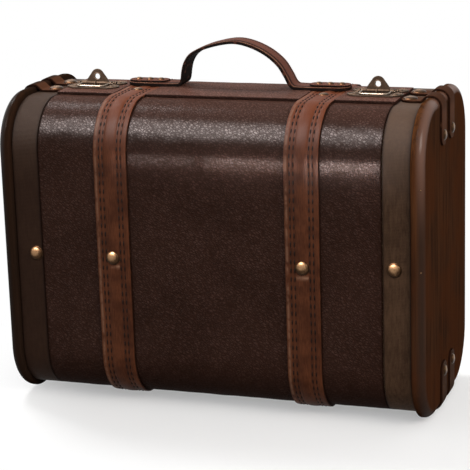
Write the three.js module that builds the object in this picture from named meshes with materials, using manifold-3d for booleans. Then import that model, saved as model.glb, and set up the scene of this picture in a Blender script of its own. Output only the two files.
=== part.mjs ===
// A small wooden suitcase, covered in leather, standing on its long side.
// Millimetres, +Z up, +X along the length. The split between its two halves lies in the plane y = 0:
// the back half (y > 0) carries the handle, and the front half (y < 0) opens forward on two hinges
// under the case. The origin is on the ground, below the middle of the case.
import * as THREE from 'three';
import { mergeVertices } from 'three/addons/utils/BufferGeometryUtils.js';
import Module from 'manifold-3d';

const wasm = await Module();
wasm.setup();

// Gaps that touching pieces keep, and the overrun of every cutting tool
const clearance = 0.3;
const splitGap = 0.8;
const overrun = 1;

// The case: outline of the end boards, seen along x
const caseLength = 400;
const caseDepth = 186;
const caseHeight = 289;
const cornerRadius = 50;

// End boards: solid wood, standing proud of the leather all round
const boardThickness = 12;
const boardProud = 5;
const boardOuterRound = 8;
const boardInnerRound = 2.5;

// Walls, from the outside in
const leatherThickness = 1.2;
const shellThickness = 3.5;
const liningThickness = 1;
const bandWidth = 26;

// Straps round the case
const strapWidth = 32;
const strapThickness = 2.6;
const strapChamfer = 0.6;

// Corner tabs: leather strips nailed over the rims beside the split
const tabWidth = 20;
const tabThickness = 1.8;
const tabFromSplit = 7;
const tabOnTop = 24;
const tabOnFace = 43.5;
const tabRamp = 5;
const tabChamfer = 0.4;
const tabFaceNailFromTip = 9;

// Raised strips on the top, beside the split
const stripWidth = 36;
const stripThickness = 2.5;
const stripRound = 1.2;
const stripToTab = 2.15;

// Dome nails: tall ones on the front and back, flat ones on the rims, small ones on the end faces and straps
const nailRadius = 6.7;
const nailHeight = 3;
const nailShankRadius = 0.9;
const nailShankInWood = 2.6;
const nailLevel = 145;
const bandNailShare = 0.64;
const rimNailRadius = 6.7;
const smallNailRadius = 5;
const smallNailHeight = 2.2;
const smallNailSink = 0.3;
const strapTopNailFromSplit = 13;

// Handle: one leather strap with flat ends, under a patch at each end
const handleWidth = 24;
const handleThickness = 3;
const handleFromSplit = 4;
const handleFlatLength = 52;
const handleRise = 40.9;
const handlePastStrap = 2;
const handleChamfer = 0.8;
const patchLength = 38;
const patchWidth = 18;
const patchThickness = 1;
const patchChamfer = 0.3;
const patchNailRadius = 3.6;
const patchNailHeight = 1.8;
const patchNailSpacing = 11;

// Latches on the top: a hinged hasp on the back half, a plate with staple and bail on the front half
const latchToTab = 1;
const latchToHandle = 3;
const latchAxisFromSplit = 3;
const plateThickness = 1;
const lobeRadius = 7.5;
const plateNeckDepth = 5;
const knuckleRadius = 1.7;
const pinRadius = 0.8;
const haspKnuckleLength = 21.4;
const endKnuckleLength = 6;
const pinHeadRadius = 1.7;
const pinHeadLength = 1.6;
const haspTipRadius = 6.4;
const haspShoulder = 3.2;
const haspThickness = 1.4;
const haspHoleRadius = 3.1;
const haspHoleFromAxis = 6.4;
const haspHoleToTip = 4;
const stapleLength = 3.6;
const stapleWidth = 1.5;
const stapleHeight = 3.5;
const stapleEye = 0.7;
const backLobeFromAxis = 1;
const frontPlateStart = 4.2;
const screwRadius = 2.4;
const screwHeight = 0.9;
const screwSink = 0.25;

// Bail: a wire loop in two ears on the front plate
const wireRadius = 0.8;
const bailWidth = 27.2;
const bailLength = 14.5;
const bailCorner = 5;
const bailPivotFromAxis = 5.8;
const bailFoot = 3.6;
const bailBendRadius = 1.3;
const bailGap = 0.4;
const bailToScrew = 1.7;
const earThickness = 1.5;
const earRadius = 2.1;
const earGap = 0.8;

// Hinges under the case
const hingeToTab = 14;
const hingeLength = 32;
const hingeLeafDepth = 15;
const hingeLeafThickness = 1;
const hingeKnuckleRadius = 1.9;
const hingePinRadius = 0.9;
const hingeMiddleKnuckle = 11.4;
const hingeReliefRadius = 4.8;

// Facets
const cornerSteps = 8;
const roundSteps = 3;
const tipSteps = 3;
const nailSides = 12;
const largeNailSteps = 4;
const smallNailSteps = 2;
const rodSides = 10;
const wireSides = 8;
const handleSteps = 36;
const closestShare = 0.02;

// The handle's middle line from foot to foot: places along its half span, and shares of its rise
const handleShares = [
    [-1.07, 0], [-1.0, 0.012], [-0.955, 0.06], [-0.935, 0.16], [-0.918, 0.31], [-0.878, 0.5], [-0.785, 0.68],
    [-0.59, 0.83], [-0.23, 0.97], [0.02, 1], [0.295, 0.915], [0.56, 0.735], [0.76, 0.5], [0.875, 0.255],
    [0.945, 0.075], [1.0, 0.012], [1.07, 0],
];

// Derived levels and places; offsets are measured outwards from the outline of the end boards
const halfLength = caseLength / 2;
const boardInner = halfLength - boardThickness;
const wallHalfLength = boardInner - clearance;
const seamAt = boardInner - bandWidth;
const leatherOffset = -boardProud;
const leatherInnerOffset = leatherOffset - leatherThickness;
const shellOffset = leatherInnerOffset - clearance;
const shellInnerOffset = shellOffset - shellThickness;
const liningOffset = shellInnerOffset - clearance;
const liningInnerOffset = liningOffset - liningThickness;
const strapOffset = leatherOffset + clearance;
const footLevel = tabThickness + clearance;
const centreLevel = footLevel + caseHeight / 2;
const leatherTop = caseHeight / 2 + leatherOffset;
const stripTop = leatherTop + clearance + stripThickness;
const strapTop = leatherTop + clearance + strapThickness;
const handleLevel = Math.max(strapTop, stripTop) + clearance;
const barrelRadius = Math.max(knuckleRadius, pinHeadRadius);
const latchAxisLevel = stripTop + clearance + barrelRadius;
const hingeAxisLevel = -leatherTop - clearance - hingeKnuckleRadius;
const tabCentre = tabFromSplit + tabWidth / 2;
const tabTopEnd = boardInner - tabOnTop;
const bandNailAt = boardInner - bandWidth * bandNailShare;
const boardRim = Math.min(boardOuterRound, boardThickness - boardInnerRound - clearance);

// Latch sizes that follow from its parts
const plateTop = plateThickness - barrelRadius;
const lobeSpacing = bailWidth + 2 * (wireRadius + bailToScrew + screwRadius);
const latchReach = lobeSpacing / 2 + lobeRadius;
const backPlateDepth = backLobeFromAxis + 2 * lobeRadius;
const frontPlateDepth = 2 * lobeRadius + plateNeckDepth / 2;
const haspLength = haspHoleFromAxis + haspHoleRadius + haspHoleToTip;

// Places along the case, each from its neighbour: tab, latch, handle, strap, and hinge
const latchAt = tabTopEnd - latchToTab - latchReach;
const handleReach = latchAt - latchReach - latchToHandle;
const handleHalfSpan = handleReach - handleFlatLength;
const strapAt = handleReach - handlePastStrap - strapWidth / 2;
const hingeAt = tabTopEnd - hingeToTab - hingeLength / 2;

const X = new THREE.Vector3(1, 0, 0);
const Y = new THREE.Vector3(0, 1, 0);
const Z = new THREE.Vector3(0, 0, 1);

// Directions that a flat outline (u, v) and its extrusion take
const ALONG_X = [Y, Z, X];
const ALONG_Y = [X, Z, Y];
const ALONG_Z = [X, Y, Z];

/** A plain material in the colour of one finish. */
function finish(color, roughness, metalness = 0) {
    return new THREE.MeshStandardMaterial({ color, roughness, metalness, flatShading: true });
}

const materials = {
    leather: finish('#36261f', 0.5),
    band: finish('#40352a', 0.75),
    strap: finish('#6a3a28', 0.5),
    tab: finish('#54302a', 0.5),
    board: finish('#4a2b1c', 0.4),
    plywood: finish('#b08a5c', 0.7),
    lining: finish('#4b3426', 0.95),
    brass: finish('#9a7648', 0.35, 1),
    bronze: finish('#5c4c3a', 0.4, 1),
};

/** Six times the volume inside a closed mesh: negative when its faces point in. */
function signedVolume(geometry) {
    const { position } = geometry.attributes;
    const [a, b, c] = [new THREE.Vector3(), new THREE.Vector3(), new THREE.Vector3()];
    let sum = 0;
    for (let i = 0; i < geometry.index.count; i += 3) {
        a.fromBufferAttribute(position, geometry.index.getX(i));
        b.fromBufferAttribute(position, geometry.index.getX(i + 1));
        c.fromBufferAttribute(position, geometry.index.getX(i + 2));
        sum += a.dot(b.cross(c));
    }
    return sum;
}

/** Merges the vertices of a closed mesh, drops its empty triangles and points its faces out. */
function closed(source) {
    source.deleteAttribute('normal');
    source.deleteAttribute('uv');
    const geometry = mergeVertices(source);
    const old = geometry.index.array;
    const kept = [];
    for (let i = 0; i < old.length; i += 3) {
        const [a, b, c] = [old[i], old[i + 1], old[i + 2]];
        if (a !== b && b !== c && c !== a) kept.push(a, b, c);
    }
    geometry.setIndex(kept);
    if (signedVolume(geometry) < 0) {
        for (let i = 0; i < kept.length; i += 3) [kept[i], kept[i + 1]] = [kept[i + 1], kept[i]];
        geometry.setIndex(kept);
    }
    return geometry;
}

/** The solid inside a closed mesh. */
function toSolid(geometry) {
    const mesh = new wasm.Mesh({
        numProp: 3,
        vertProperties: new Float32Array(geometry.attributes.position.array),
        triVerts: new Uint32Array(geometry.index.array),
    });
    return new wasm.Manifold(mesh);
}

/** The mesh round a solid. */
function toGeometry(solid) {
    const mesh = solid.getMesh();
    const geometry = new THREE.BufferGeometry();
    geometry.setAttribute('position', new THREE.BufferAttribute(mesh.vertProperties, 3));
    geometry.setIndex(new THREE.BufferAttribute(mesh.triVerts, 1));
    return geometry;
}

/** One body made of several that overlap. */
function joined(first, ...others) {
    return toGeometry(others.reduce((sum, other) => sum.add(toSolid(other)), toSolid(first)));
}

/** A body less the tools. */
function cut(body, ...tools) {
    return toGeometry(tools.reduce((rest, tool) => rest.subtract(toSolid(tool)), toSolid(body)));
}

/** A copy, mirrored where a factor is -1. */
function mirrored(geometry, x, y, z) {
    return closed(geometry.clone().scale(x, y, z));
}

/** A flat outline carried along one direction, from one place to another. */
function prism(shape, from, to, directions) {
    const options = { depth: to - from, bevelEnabled: false, curveSegments: cornerSteps };
    const geometry = new THREE.ExtrudeGeometry(shape, options);
    geometry.translate(0, 0, from);
    return closed(geometry.applyMatrix4(new THREE.Matrix4().makeBasis(...directions)));
}

/** A box between two corners. */
function box(low, high) {
    const size = high.clone().sub(low);
    const middle = high.clone().add(low).multiplyScalar(0.5);
    const geometry = new THREE.BoxGeometry(size.x, size.y, size.z);
    return closed(geometry.translate(middle.x, middle.y, middle.z));
}

/** A round rod along x about a line at (y, z). */
function rod(radius, from, to, y = 0, z = 0) {
    const geometry = new THREE.CylinderGeometry(radius, radius, to - from, rodSides);
    return closed(geometry.rotateZ(-Math.PI / 2).translate((from + to) / 2, y, z));
}

/** Points on an arc about a centre, from one angle to another. */
function arc(centreU, centreV, radius, fromAngle, toAngle, steps) {
    return Array.from({ length: steps + 1 }, (_, i) => {
        const angle = fromAngle + (toAngle - fromAngle) * i / steps;
        return new THREE.Vector2(centreU + radius * Math.cos(angle), centreV + radius * Math.sin(angle));
    });
}

/** A round disc as an outline. */
function disc(centreU, centreV, radius) {
    const shape = new THREE.Shape();
    shape.absarc(centreU, centreV, radius, 0, 2 * Math.PI);
    return shape;
}

/** Half of the case's outline in (y, z), from the top at the split round the back to the bottom. */
function halfPath(offset, topStart, bottomStart) {
    const depth = caseDepth / 2 + offset;
    const height = caseHeight / 2 + offset;
    const radius = cornerRadius + offset;
    return [
        new THREE.Vector2(topStart, height),
        ...arc(depth - radius, height - radius, radius, Math.PI / 2, 0, cornerSteps),
        ...arc(depth - radius, radius - height, radius, 0, -Math.PI / 2, cornerSteps),
        new THREE.Vector2(bottomStart, -height),
    ];
}

/** A wall that follows half of the outline between two offsets. */
function halfWall(outer, inner, from, to) {
    const edge = splitGap / 2;
    const shape = new THREE.Shape([...halfPath(outer, edge, edge), ...halfPath(inner, edge, edge).reverse()]);
    return prism(shape, from, to, ALONG_X);
}

/** A closed skin through rings of points, with flat ends; every ring is convex. */
function loft(rings) {
    const count = rings[0].length;
    const index = [];
    for (let r = 0; r + 1 < rings.length; r += 1) {
        for (let i = 0; i < count; i += 1) {
            const [a, b] = [r * count + i, r * count + (i + 1) % count];
            index.push(a, b, b + count, a, b + count, a + count);
        }
    }
    const last = (rings.length - 1) * count;
    for (let i = 1; i + 1 < count; i += 1) {
        index.push(0, i + 1, i, last, last + i, last + i + 1);
    }
    const geometry = new THREE.BufferGeometry().setFromPoints(rings.flat());
    geometry.setIndex(index);
    return closed(geometry);
}

/** The outward step at a point of a path that keeps a strip of even thickness. */
function mitre(path, i) {
    const before = path[Math.max(i, 1)].clone().sub(path[Math.max(i, 1) - 1]).normalize();
    const next = Math.min(i, path.length - 2);
    const after = path[next + 1].clone().sub(path[next]).normalize();
    const sum = new THREE.Vector2(-before.y - after.y, before.x + after.x);
    return sum.divideScalar(1 + before.dot(after));
}

/** A flat strip with chamfered outer edges, carried along its lower line. */
function ribbon(path, halfWidths, thickness, chamfer, place) {
    const rings = path.map((point, i) => {
        const step = mitre(path, i);
        const half = halfWidths[i];
        const edge = Math.min(chamfer, half / 2);
        const section = [
            [-half, 0], [half, 0], [half, thickness - edge],
            [half - edge, thickness], [edge - half, thickness], [-half, thickness - edge],
        ];
        return section.map(([across, up]) => place(point.x + step.x * up, point.y + step.y * up, across));
    });
    return loft(rings);
}

/** Stations along a path, with more near its ends, and half widths that make both ends round. */
function roundEnds(path, halfWidth) {
    const lengths = [0];
    for (let i = 1; i < path.length; i += 1) lengths.push(lengths[i - 1] + path[i].distanceTo(path[i - 1]));
    const total = lengths[lengths.length - 1];
    const firstAngle = Math.PI / 2 / (tipSteps + 1);
    const blunt = halfWidth * (1 - Math.cos(firstAngle));
    const tips = Array.from({ length: tipSteps + 1 }, (_, k) => (
        halfWidth * (Math.cos(firstAngle) - Math.cos(firstAngle * (k + 1)))
    ));
    const all = [...lengths, ...tips, ...tips.map((s) => total - s)].sort((a, b) => a - b);
    const stations = all.filter((s, i) => i === 0 || s - all[i - 1] > halfWidth * closestShare);
    const points = stations.map((s) => {
        const next = Math.max(1, lengths.findIndex((length) => length >= s));
        const share = (s - lengths[next - 1]) / (lengths[next] - lengths[next - 1]);
        return path[next - 1].clone().lerp(path[next], share);
    });
    const halfWidths = stations.map((s) => {
        const near = Math.min(Math.min(s, total - s) + blunt, halfWidth);
        return Math.sqrt(halfWidth ** 2 - (halfWidth - near) ** 2);
    });
    return [points, halfWidths];
}

/** A dome nail, head outwards along y with its seat at y = 0; a shank is added where it has one. */
function nail(radius, height, shank) {
    const steps = shank > 0 ? largeNailSteps : smallNailSteps;
    const rim = arc(0, 0, 1, 0, Math.PI / 2, steps).map((p) => new THREE.Vector2(radius * p.x, height * p.y));
    const under = shank > 0
        ? [new THREE.Vector2(0, -shank), new THREE.Vector2(nailShankRadius, -shank),
            new THREE.Vector2(nailShankRadius, 0)]
        : [new THREE.Vector2(0, 0)];
    return closed(new THREE.LatheGeometry([...under, ...rim], nailSides));
}

/** The hole that a large nail's shank needs in the walls, along y. */
function nailHole(x, z) {
    const radius = nailShankRadius + clearance;
    const outer = caseDepth / 2;
    const inner = outer + shellInnerOffset - overrun;
    const geometry = new THREE.CylinderGeometry(radius, radius, outer - inner, wireSides);
    return closed(geometry.translate(x, (outer + inner) / 2, z));
}

const suitcase = new THREE.Group();
const caseBody = new THREE.Group();
caseBody.position.z = centreLevel;
suitcase.add(caseBody);

/** Adds one named piece to a group. */
function piece(name, geometry, material, group = caseBody) {
    const mesh = new THREE.Mesh(geometry, material);
    mesh.name = name;
    group.add(mesh);
    return mesh;
}

const ends = [['left', -1], ['right', 1]];
const halves = [['front', -1], ['back', 1]];
const levels = [['top', 1], ['bottom', -1]];

// Large nails, the same on the front and the back
const nailHeightFromCentre = footLevel + nailLevel - centreLevel;
const nailPlaces = ends.flatMap(([, side]) => [side * strapAt, side * bandNailAt]);
const nailHoles = nailPlaces.map((x) => nailHole(x, nailHeightFromCentre));

// Walls: plywood shell, lining tray, leather and the two bands of each half
const shell = cut(halfWall(shellOffset, shellInnerOffset, -wallHalfLength, wallHalfLength), ...nailHoles);
const leatherEnd = seamAt - clearance / 2;
const leather = cut(halfWall(leatherOffset, leatherInnerOffset, -leatherEnd, leatherEnd), ...nailHoles);
const bandStart = seamAt + clearance / 2;
const band = cut(halfWall(leatherOffset, leatherInnerOffset, bandStart, wallHalfLength), ...nailHoles);

/** The lining: a tray with closed ends, open at the split. */
function liningTray() {
    const edge = splitGap / 2;
    const outer = new THREE.Shape(halfPath(liningOffset, edge, edge));
    const inner = new THREE.Shape(halfPath(liningInnerOffset, edge - overrun, edge - overrun));
    const innerHalfLength = wallHalfLength - liningThickness;
    return cut(prism(outer, -wallHalfLength, wallHalfLength, ALONG_X),
        prism(inner, -innerHalfLength, innerHalfLength, ALONG_X));
}
const lining = liningTray();

/** Half an end board: round outer edge, softened inner edge, relieved round the hinge line. */
function endBoard() {
    const edge = splitGap / 2;
    const inner = arc(boardInner + boardInnerRound, -boardInnerRound, boardInnerRound, Math.PI, Math.PI / 2,
        roundSteps);
    const outer = arc(halfLength - boardRim, -boardRim, boardRim, Math.PI / 2, 0,
        roundSteps + 1);
    const rings = [...inner, ...outer].map(({ x, y: offset }) => (
        halfPath(offset, edge, edge).map((p) => new THREE.Vector3(x, p.x, p.y))
    ));
    const relief = rod(hingeReliefRadius, boardInner - overrun, halfLength + overrun, 0, hingeAxisLevel);
    return cut(loft(rings), relief);
}
const board = endBoard();

/** Half a strap, from the split at the top to the hinge line at the bottom. */
function halfStrap() {
    const path = halfPath(strapOffset, splitGap / 2, hingeReliefRadius + clearance);
    const halfWidths = path.map(() => strapWidth / 2);
    return ribbon(path, halfWidths, strapThickness, strapChamfer,
        (y, z, across) => new THREE.Vector3(strapAt + across, y, z));
}
const strap = cut(halfStrap(), ...nailHoles);
const strapTopNail = nail(smallNailRadius, smallNailHeight, 0).rotateX(Math.PI / 2)
    .translate(strapAt, strapTopNailFromSplit, strapTop - smallNailSink);
const frontStrap = joined(strap, strapTopNail);

/** A corner tab: from the band, up over the rim and its round edge, and down the end face. */
function cornerTab() {
    const topLine = clearance;
    const path = [
        new THREE.Vector2(tabTopEnd, leatherOffset + clearance),
        new THREE.Vector2(boardInner - tabRamp, leatherOffset + clearance),
        new THREE.Vector2(boardInner + clearance, topLine),
        ...arc(halfLength - boardRim, -boardRim, boardRim + clearance, Math.PI / 2, 0,
            roundSteps + 1),
        new THREE.Vector2(halfLength + clearance, -tabOnFace),
    ];
    const [points, halfWidths] = roundEnds(path, tabWidth / 2);
    const strip = ribbon(points, halfWidths, tabThickness, tabChamfer,
        (x, offset, across) => new THREE.Vector3(x, tabCentre + across, caseHeight / 2 + offset));
    const bandNail = nail(rimNailRadius, smallNailHeight, 0).rotateX(Math.PI / 2)
        .translate(bandNailAt, tabCentre, leatherTop + clearance + tabThickness - smallNailSink);
    const faceNail = nail(smallNailRadius, smallNailHeight, 0).rotateZ(-Math.PI / 2)
        .translate(halfLength + clearance + tabThickness - smallNailSink, tabCentre,
            caseHeight / 2 - tabOnFace + tabFaceNailFromTip);
    return joined(strip, bandNail, faceNail);
}
const tab = cornerTab();

/** A raised strip beside the split, between two places along the case. */
function closureStrip(from, to) {
    const [near, far] = [splitGap / 2, splitGap / 2 + stripWidth];
    const [low, high] = [leatherTop + clearance, stripTop];
    const shape = new THREE.Shape([
        new THREE.Vector2(near, low),
        new THREE.Vector2(far, low),
        ...arc(far - stripRound, high - stripRound, stripRound, 0, Math.PI / 2, roundSteps),
        new THREE.Vector2(near, high),
    ]);
    return prism(shape, from, to, ALONG_X);
}
const strapInner = strapAt - strapWidth / 2 - clearance;
const strapOuter = strapAt + strapWidth / 2 + clearance;
const middleStrip = closureStrip(-strapInner, strapInner);
const endStrip = closureStrip(strapOuter, tabTopEnd - stripToTab);

for (const [half, y] of halves) {
    piece(`${half}_shell`, mirrored(shell, 1, y, 1), materials.plywood);
    piece(`${half}_lining`, mirrored(lining, 1, y, 1), materials.lining);
    piece(`${half}_leather`, mirrored(leather, 1, y, 1), materials.leather);
    piece(`${half}_closure_strip_middle`, mirrored(middleStrip, 1, y, 1), materials.leather);
    for (const [end, x] of ends) {
        piece(`${half}_end_board_${end}`, mirrored(board, x, y, 1), materials.board);
        piece(`${half}_band_${end}`, mirrored(band, x, y, 1), materials.band);
        piece(`${half}_strap_${end}`, mirrored(y < 0 ? frontStrap : strap, x, y, 1), materials.strap);
        piece(`${half}_closure_strip_${end}`, mirrored(endStrip, x, y, 1), materials.leather);
        for (const [level, z] of levels) {
            piece(`${half}_corner_tab_${end}_${level}`, mirrored(tab, x, y, z), materials.tab);
        }
    }
}

// Large nails: through the strap or the band, into the plywood
const nailSeats = [['strap', strapAt, strapOffset + strapThickness], ['band', bandNailAt, leatherOffset]];
for (const [kind, place, surface] of nailSeats) {
    const seat = surface + clearance;
    const geometry = nail(nailRadius, nailHeight, seat - shellOffset + nailShankInWood);
    for (const [half, y] of halves) {
        for (const [end, x] of ends) {
            const mesh = piece(`${half}_${kind}_nail_${end}`, mirrored(geometry, 1, y, 1), materials.brass);
            mesh.position.set(x * place, y * (caseDepth / 2 + seat), nailHeightFromCentre);
        }
    }
}

/** The handle: flat ends on the straps, and an arch between them. */
function handleStrap() {
    const middle = handleLevel + handleThickness / 2;
    const knots = handleShares.map(([along, up]) => (
        new THREE.Vector3(along * handleHalfSpan, middle + up * handleRise, 0)
    ));
    const foot = (end) => new THREE.Vector3(end * handleReach, middle, 0);
    const curve = new THREE.CatmullRomCurve3([foot(-1), ...knots, foot(1)], false, 'centripetal');
    const line = curve.getSpacedPoints(handleSteps).map((p) => new THREE.Vector2(p.x, p.y));
    const lower = line.map((p, i) => p.clone().addScaledVector(mitre(line, i), -handleThickness / 2));
    const [points, halfWidths] = roundEnds(lower, handleWidth / 2);
    const centre = handleFromSplit + handleWidth / 2;
    return ribbon(points, halfWidths, handleThickness, handleChamfer,
        (x, z, across) => new THREE.Vector3(x, centre + across, z));
}
piece('handle_strap', handleStrap(), materials.strap);

/** A leather patch on a flat end of the handle, with three nails in a row. */
function handlePatch() {
    const level = handleLevel + handleThickness + clearance;
    const centre = handleFromSplit + handleWidth / 2;
    const [from, to] = [handleReach - patchLength - clearance, handleReach - clearance];
    const [points, halfWidths] = roundEnds([new THREE.Vector2(from, level), new THREE.Vector2(to, level)],
        patchWidth / 2);
    const patch = ribbon(points, halfWidths, patchThickness, patchChamfer,
        (x, z, across) => new THREE.Vector3(x, centre + across, z));
    const nails = [-1, 0, 1].map((i) => nail(patchNailRadius, patchNailHeight, 0).rotateX(Math.PI / 2)
        .translate((from + to) / 2 + i * patchNailSpacing, centre, level + patchThickness - smallNailSink));
    return joined(patch, ...nails);
}
const patch = handlePatch();
for (const [end, x] of ends) piece(`handle_patch_${end}`, mirrored(patch, x, 1, 1), materials.strap);

// Latch pieces, in a frame with the hasp's axis as x and its middle as origin; the front is at y < 0
const endKnuckle = haspKnuckleLength / 2 + clearance;
const barrelEnd = endKnuckle + endKnuckleLength;
const bore = pinRadius + clearance;
const plateBottom = -barrelRadius;

/** A plate outline with a round lobe at each end, as one body. */
function lobedPlate(from, to, lobeAt) {
    const half = lobeSpacing / 2;
    const middle = box(new THREE.Vector3(-half, from, plateBottom), new THREE.Vector3(half, to, plateTop));
    const lobes = [-half, half].map((x) => (
        prism(disc(x, lobeAt, lobeRadius), plateBottom, plateTop, ALONG_Z)
    ));
    const screws = [-half, half].map((x) => nail(screwRadius, screwHeight, 0).rotateX(Math.PI / 2)
        .translate(x, lobeAt, plateTop - screwSink));
    return joined(middle, ...lobes, ...screws);
}

/** The back plate, with a knuckle at each end of the hasp's. */
function latchBackPlate() {
    const knuckles = [-1, 1].map((side) => {
        const [a, b] = [side * endKnuckle, side * barrelEnd];
        return rod(knuckleRadius, Math.min(a, b), Math.max(a, b));
    });
    const headRoom = barrelEnd + pinHeadLength + 2 * clearance;
    const rooms = [
        rod(knuckleRadius + clearance, -endKnuckle, endKnuckle),
        rod(pinHeadRadius + clearance, barrelEnd, headRoom),
        rod(pinHeadRadius + clearance, -headRoom, -barrelEnd),
    ];
    const plate = cut(lobedPlate(0, backPlateDepth, backPlateDepth - lobeRadius), ...rooms);
    return cut(joined(plate, ...knuckles), rod(bore, -barrelEnd - overrun, barrelEnd + overrun));
}

/** The hasp, standing up: round tip, round hole for the staple, knuckle round the pin. */
function hasp() {
    const half = haspKnuckleLength / 2;
    const tip = haspLength - haspTipRadius;
    const shape = new THREE.Shape([
        new THREE.Vector2(-half, 0),
        new THREE.Vector2(half, 0),
        new THREE.Vector2(half, haspShoulder),
        ...arc(0, tip, haspTipRadius, Math.PI / 6, Math.PI * 5 / 6, cornerSteps),
        new THREE.Vector2(-half, haspShoulder),
    ]);
    const tongue = prism(shape, -haspThickness / 2, haspThickness / 2, ALONG_Y);
    const hole = prism(disc(0, haspHoleFromAxis, haspHoleRadius), -haspThickness, haspThickness, ALONG_Y);
    const whole = joined(tongue, rod(knuckleRadius, -half, half));
    return cut(whole, hole, rod(bore, -half - overrun, half + overrun));
}

/** The pin, with a head outside each end knuckle. */
function latchPin() {
    const head = barrelEnd + clearance;
    const heads = [-1, 1].map((side) => {
        const [a, b] = [side * head, side * (head + pinHeadLength)];
        return rod(pinHeadRadius, Math.min(a, b), Math.max(a, b));
    });
    return joined(rod(pinRadius, -head - pinHeadLength / 2, head + pinHeadLength / 2), ...heads);
}

const bailLevel = plateTop + bailGap + wireRadius;
const earInner = bailWidth / 2 + wireRadius + earGap;

/** The front plate, with the staple for the hasp and two ears for the bail. */
function latchFrontPlate() {
    const near = -frontPlateStart;
    const far = near - frontPlateDepth;
    const plate = lobedPlate(far, near, far + lobeRadius + plateNeckDepth / 2);
    const stapleAt = -haspHoleFromAxis;
    const post = stapleLength / 2;
    const stapleShape = new THREE.Shape([
        new THREE.Vector2(stapleAt - post, plateTop - plateThickness / 2),
        new THREE.Vector2(stapleAt + post, plateTop - plateThickness / 2),
        ...arc(stapleAt, plateTop + stapleHeight - post, post, 0, Math.PI, 2 * roundSteps),
    ]);
    const staple = prism(stapleShape, -stapleWidth / 2, stapleWidth / 2, ALONG_X);
    const eye = rod(stapleEye, -stapleWidth, stapleWidth, stapleAt, plateTop + stapleHeight - post);
    const ears = [-1, 1].map((side) => {
        const [a, b] = [side * earInner, side * (earInner + earThickness)];
        return rod(earRadius, Math.min(a, b), Math.max(a, b), -bailPivotFromAxis, bailLevel);
    });
    const under = box(new THREE.Vector3(-lobeSpacing, far - lobeRadius, plateBottom - earRadius),
        new THREE.Vector3(lobeSpacing, 0, plateBottom));
    const holes = [-1, 1].map((side) => {
        const [a, b] = [side * (earInner - overrun), side * (earInner + earThickness + overrun)];
        return rod(wireRadius + clearance, Math.min(a, b), Math.max(a, b), -bailPivotFromAxis, bailLevel);
    });
    return cut(joined(plate, staple, ...ears), eye, under, ...holes);
}

/** The bail: one wire from ear to ear, lying forward over the front plate. */
function bail() {
    const half = bailWidth / 2;
    const foot = half + bailFoot;
    const bend = bailBendRadius;
    const side = (x) => [
        new THREE.Vector2(x * foot, 0),
        new THREE.Vector2(x * (half + bend), 0),
        ...arc(x * (half + bend), -bend, bend, Math.PI / 2, x > 0 ? Math.PI : 0, roundSteps).slice(1),
    ];
    const bow = [
        ...arc(half - bailCorner, bailCorner - bailLength, bailCorner, 0, -Math.PI / 2, roundSteps + 1),
        ...arc(bailCorner - half, bailCorner - bailLength, bailCorner, -Math.PI / 2, -Math.PI,
            roundSteps + 1),
    ];
    const line = [...side(1), ...bow, ...side(-1).reverse()];
    const rings = line.map((point, i) => {
        const across = mitre(line, i);
        return arc(0, 0, wireRadius, 0, 2 * Math.PI, wireSides).slice(1)
            .map((p) => new THREE.Vector3(point.x + across.x * p.x, point.y + across.y * p.x, p.y));
    });
    return loft(rings);
}

const latchPieces = [
    ['back_plate', latchBackPlate(), materials.bronze, 0, 0],
    ['hasp', hasp(), materials.bronze, 0, 0],
    ['pin', latchPin(), materials.bronze, 0, 0],
    ['front_plate', latchFrontPlate(), materials.bronze, 0, 0],
    ['bail', bail(), materials.bronze, -bailPivotFromAxis, bailLevel],
];
for (const [end, x] of ends) {
    const latch = new THREE.Group();
    latch.position.set(x * latchAt, latchAxisFromSplit, latchAxisLevel);
    caseBody.add(latch);
    for (const [name, geometry, material, y, z] of latchPieces) {
        piece(`latch_${name}_${end}`, geometry, material, latch).position.set(0, y, z);
    }
}

// Hinge pieces, in a frame with the hinge line as x and the hinge's middle as origin
const leafHalf = hingeLength / 2;
const middleHalf = hingeMiddleKnuckle / 2;
const hingeBore = hingePinRadius + clearance;

/** A leaf with screw heads below it, on the back side of the hinge line. */
function hingePlate() {
    const low = hingeKnuckleRadius - hingeLeafThickness;
    const plate = box(new THREE.Vector3(-leafHalf, 0, low),
        new THREE.Vector3(leafHalf, hingeLeafDepth, hingeKnuckleRadius));
    const screwAt = hingeLeafDepth - 2 * screwRadius;
    const screws = [-1, 1].map((side) => nail(screwRadius, screwHeight, 0).rotateX(-Math.PI / 2)
        .translate(side * (leafHalf - 2 * screwRadius), screwAt, low + screwSink));
    return joined(plate, ...screws);
}

/** The back leaf, with the middle knuckle. */
function hingeBackLeaf() {
    const room = hingeKnuckleRadius + clearance;
    const outer = leafHalf + overrun;
    return cut(joined(hingePlate(), rod(hingeKnuckleRadius, -middleHalf, middleHalf)),
        rod(room, -outer, -middleHalf), rod(room, middleHalf, outer), rod(hingeBore, -outer, outer));
}

/** The front leaf, with the two outer knuckles. */
function hingeFrontLeaf() {
    const inner = middleHalf + clearance;
    const knuckles = [rod(hingeKnuckleRadius, -leafHalf, -inner), rod(hingeKnuckleRadius, inner, leafHalf)];
    const outer = leafHalf + overrun;
    return cut(joined(mirrored(hingePlate(), 1, -1, 1), ...knuckles),
        rod(hingeKnuckleRadius + clearance, -inner, inner), rod(hingeBore, -outer, outer));
}

const hingePieces = [
    ['back_leaf', hingeBackLeaf()],
    ['front_leaf', hingeFrontLeaf()],
    ['pin', rod(hingePinRadius, -leafHalf, leafHalf)],
];
for (const [end, x] of ends) {
    const hinge = new THREE.Group();
    hinge.position.set(x * hingeAt, 0, hingeAxisLevel);
    caseBody.add(hinge);
    for (const [name, geometry] of hingePieces) {
        piece(`hinge_${name}_${end}`, geometry, materials.bronze, hinge);
    }
}

export default suitcase;
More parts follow.
